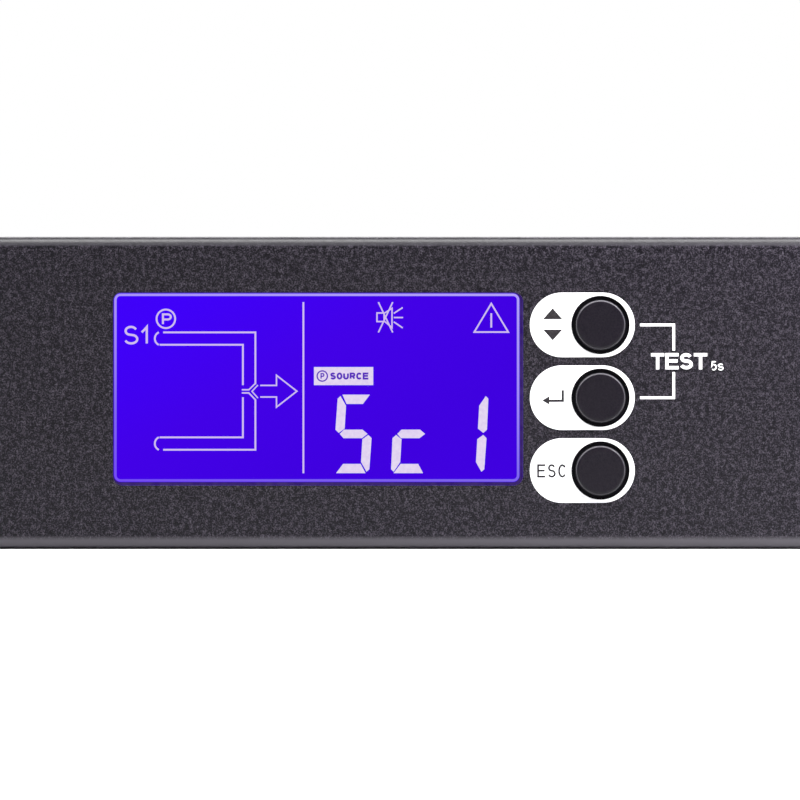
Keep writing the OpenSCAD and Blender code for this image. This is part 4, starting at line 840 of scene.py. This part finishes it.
tree.links.new(colours, shader.inputs["Base Color"])
bump(tree, shader, noise(tree, 500), 0.05 * mm, 0.3)
dress(wire_skin, "wiring")

# ------------------------------------------------------------------ floor, light and camera
# A plain pale floor under even white studio light, seen straight on through a long lens.
# Floor and surroundings show white but throw back only as much light as a pale grey room.

pale_floor, tree, shader = new_material("pale_floor", (0.36, 0.36, 0.365), 0.9, specular=0.1)
shader.inputs["Emission Color"].default_value = (1, 1, 1, 1)
seen = tree.nodes.new("ShaderNodeLightPath").outputs["Is Camera Ray"]
tree.links.new(spread(tree, seen, 0.0, 0.8, 0.0, 1.0), shader.inputs["Emission Strength"])
floor_mesh = bpy.data.meshes.new("floor")
shape = bmesh.new()
bmesh.ops.create_grid(shape, x_segments=1, y_segments=1, size=12)
shape.to_mesh(floor_mesh)
shape.free()
floor_mesh.materials.append(pale_floor)
floor = bpy.data.objects.new("floor", floor_mesh)
bpy.context.scene.collection.objects.link(floor)

world = bpy.data.worlds.new("studio")
bpy.context.scene.world = world
world.use_nodes = True
shell = world.node_tree.nodes["Background"]
shell.inputs["Color"].default_value = (1, 1, 1, 1)
shell_light = 0.2
seen = world.node_tree.nodes.new("ShaderNodeLightPath").outputs["Is Camera Ray"]
shell_strength = spread(world.node_tree, seen, shell_light, 1.0, 0.0, 1.0)
world.node_tree.links.new(shell_strength, shell.inputs["Strength"])


def soft_light(name, place, target, width, depth, power):
    """A soft light aimed at a point."""
    data = bpy.data.lights.new(name, "AREA")
    data.shape = "RECTANGLE"
    data.size = width
    data.size_y = depth
    data.energy = power
    lamp = bpy.data.objects.new(name, data)
    lamp.location = place
    lamp.rotation_mode = "QUATERNION"
    lamp.rotation_quaternion = (Vector(target) - Vector(place)).to_track_quat("-Z", "Y")
    lamp.visible_camera = False
    bpy.context.scene.collection.objects.link(lamp)
    return lamp


soft_light("top_light", (0, front_y - 0.08, 0.5), (0, front_y - 0.08, 0), 1.4, 0.26, 18)
soft_light("side_light", (0.5, front_y - 0.15, 0.6), (0, front_y, 0.02), 0.2, 0.2, 2.0)
soft_light("rear_light", (0, 1.3, 0.9), (0, 0.1, 0.02), 1.4, 0.8, 12)
# The small lamp beside the keys lights the matt surfaces only and isn't mirrored in the roof
near_place, near_target = (0.105, front_y - 0.05, 0.10), (0.055, front_y, 0.035)
near_light = soft_light("near_light", near_place, near_target, 0.05, 0.05, 0.24)
near_light.visible_glossy = False

view_span, distance, sensor = 0.11165, 1.1, 36
camera_data = bpy.data.cameras.new("camera")
camera_data.sensor_width = sensor
camera_data.lens = sensor * distance / view_span
camera_data.clip_start = 0.05
camera_data.clip_end = 60
camera = bpy.data.objects.new("camera", camera_data)
camera.location = (-2.51 * mm, front_y - distance, 20.84 * mm)
camera.rotation_euler = (math.radians(90), 0, 0)
bpy.context.scene.collection.objects.link(camera)
bpy.context.scene.camera = camera
bpy.context.scene.view_settings.view_transform = "Standard"
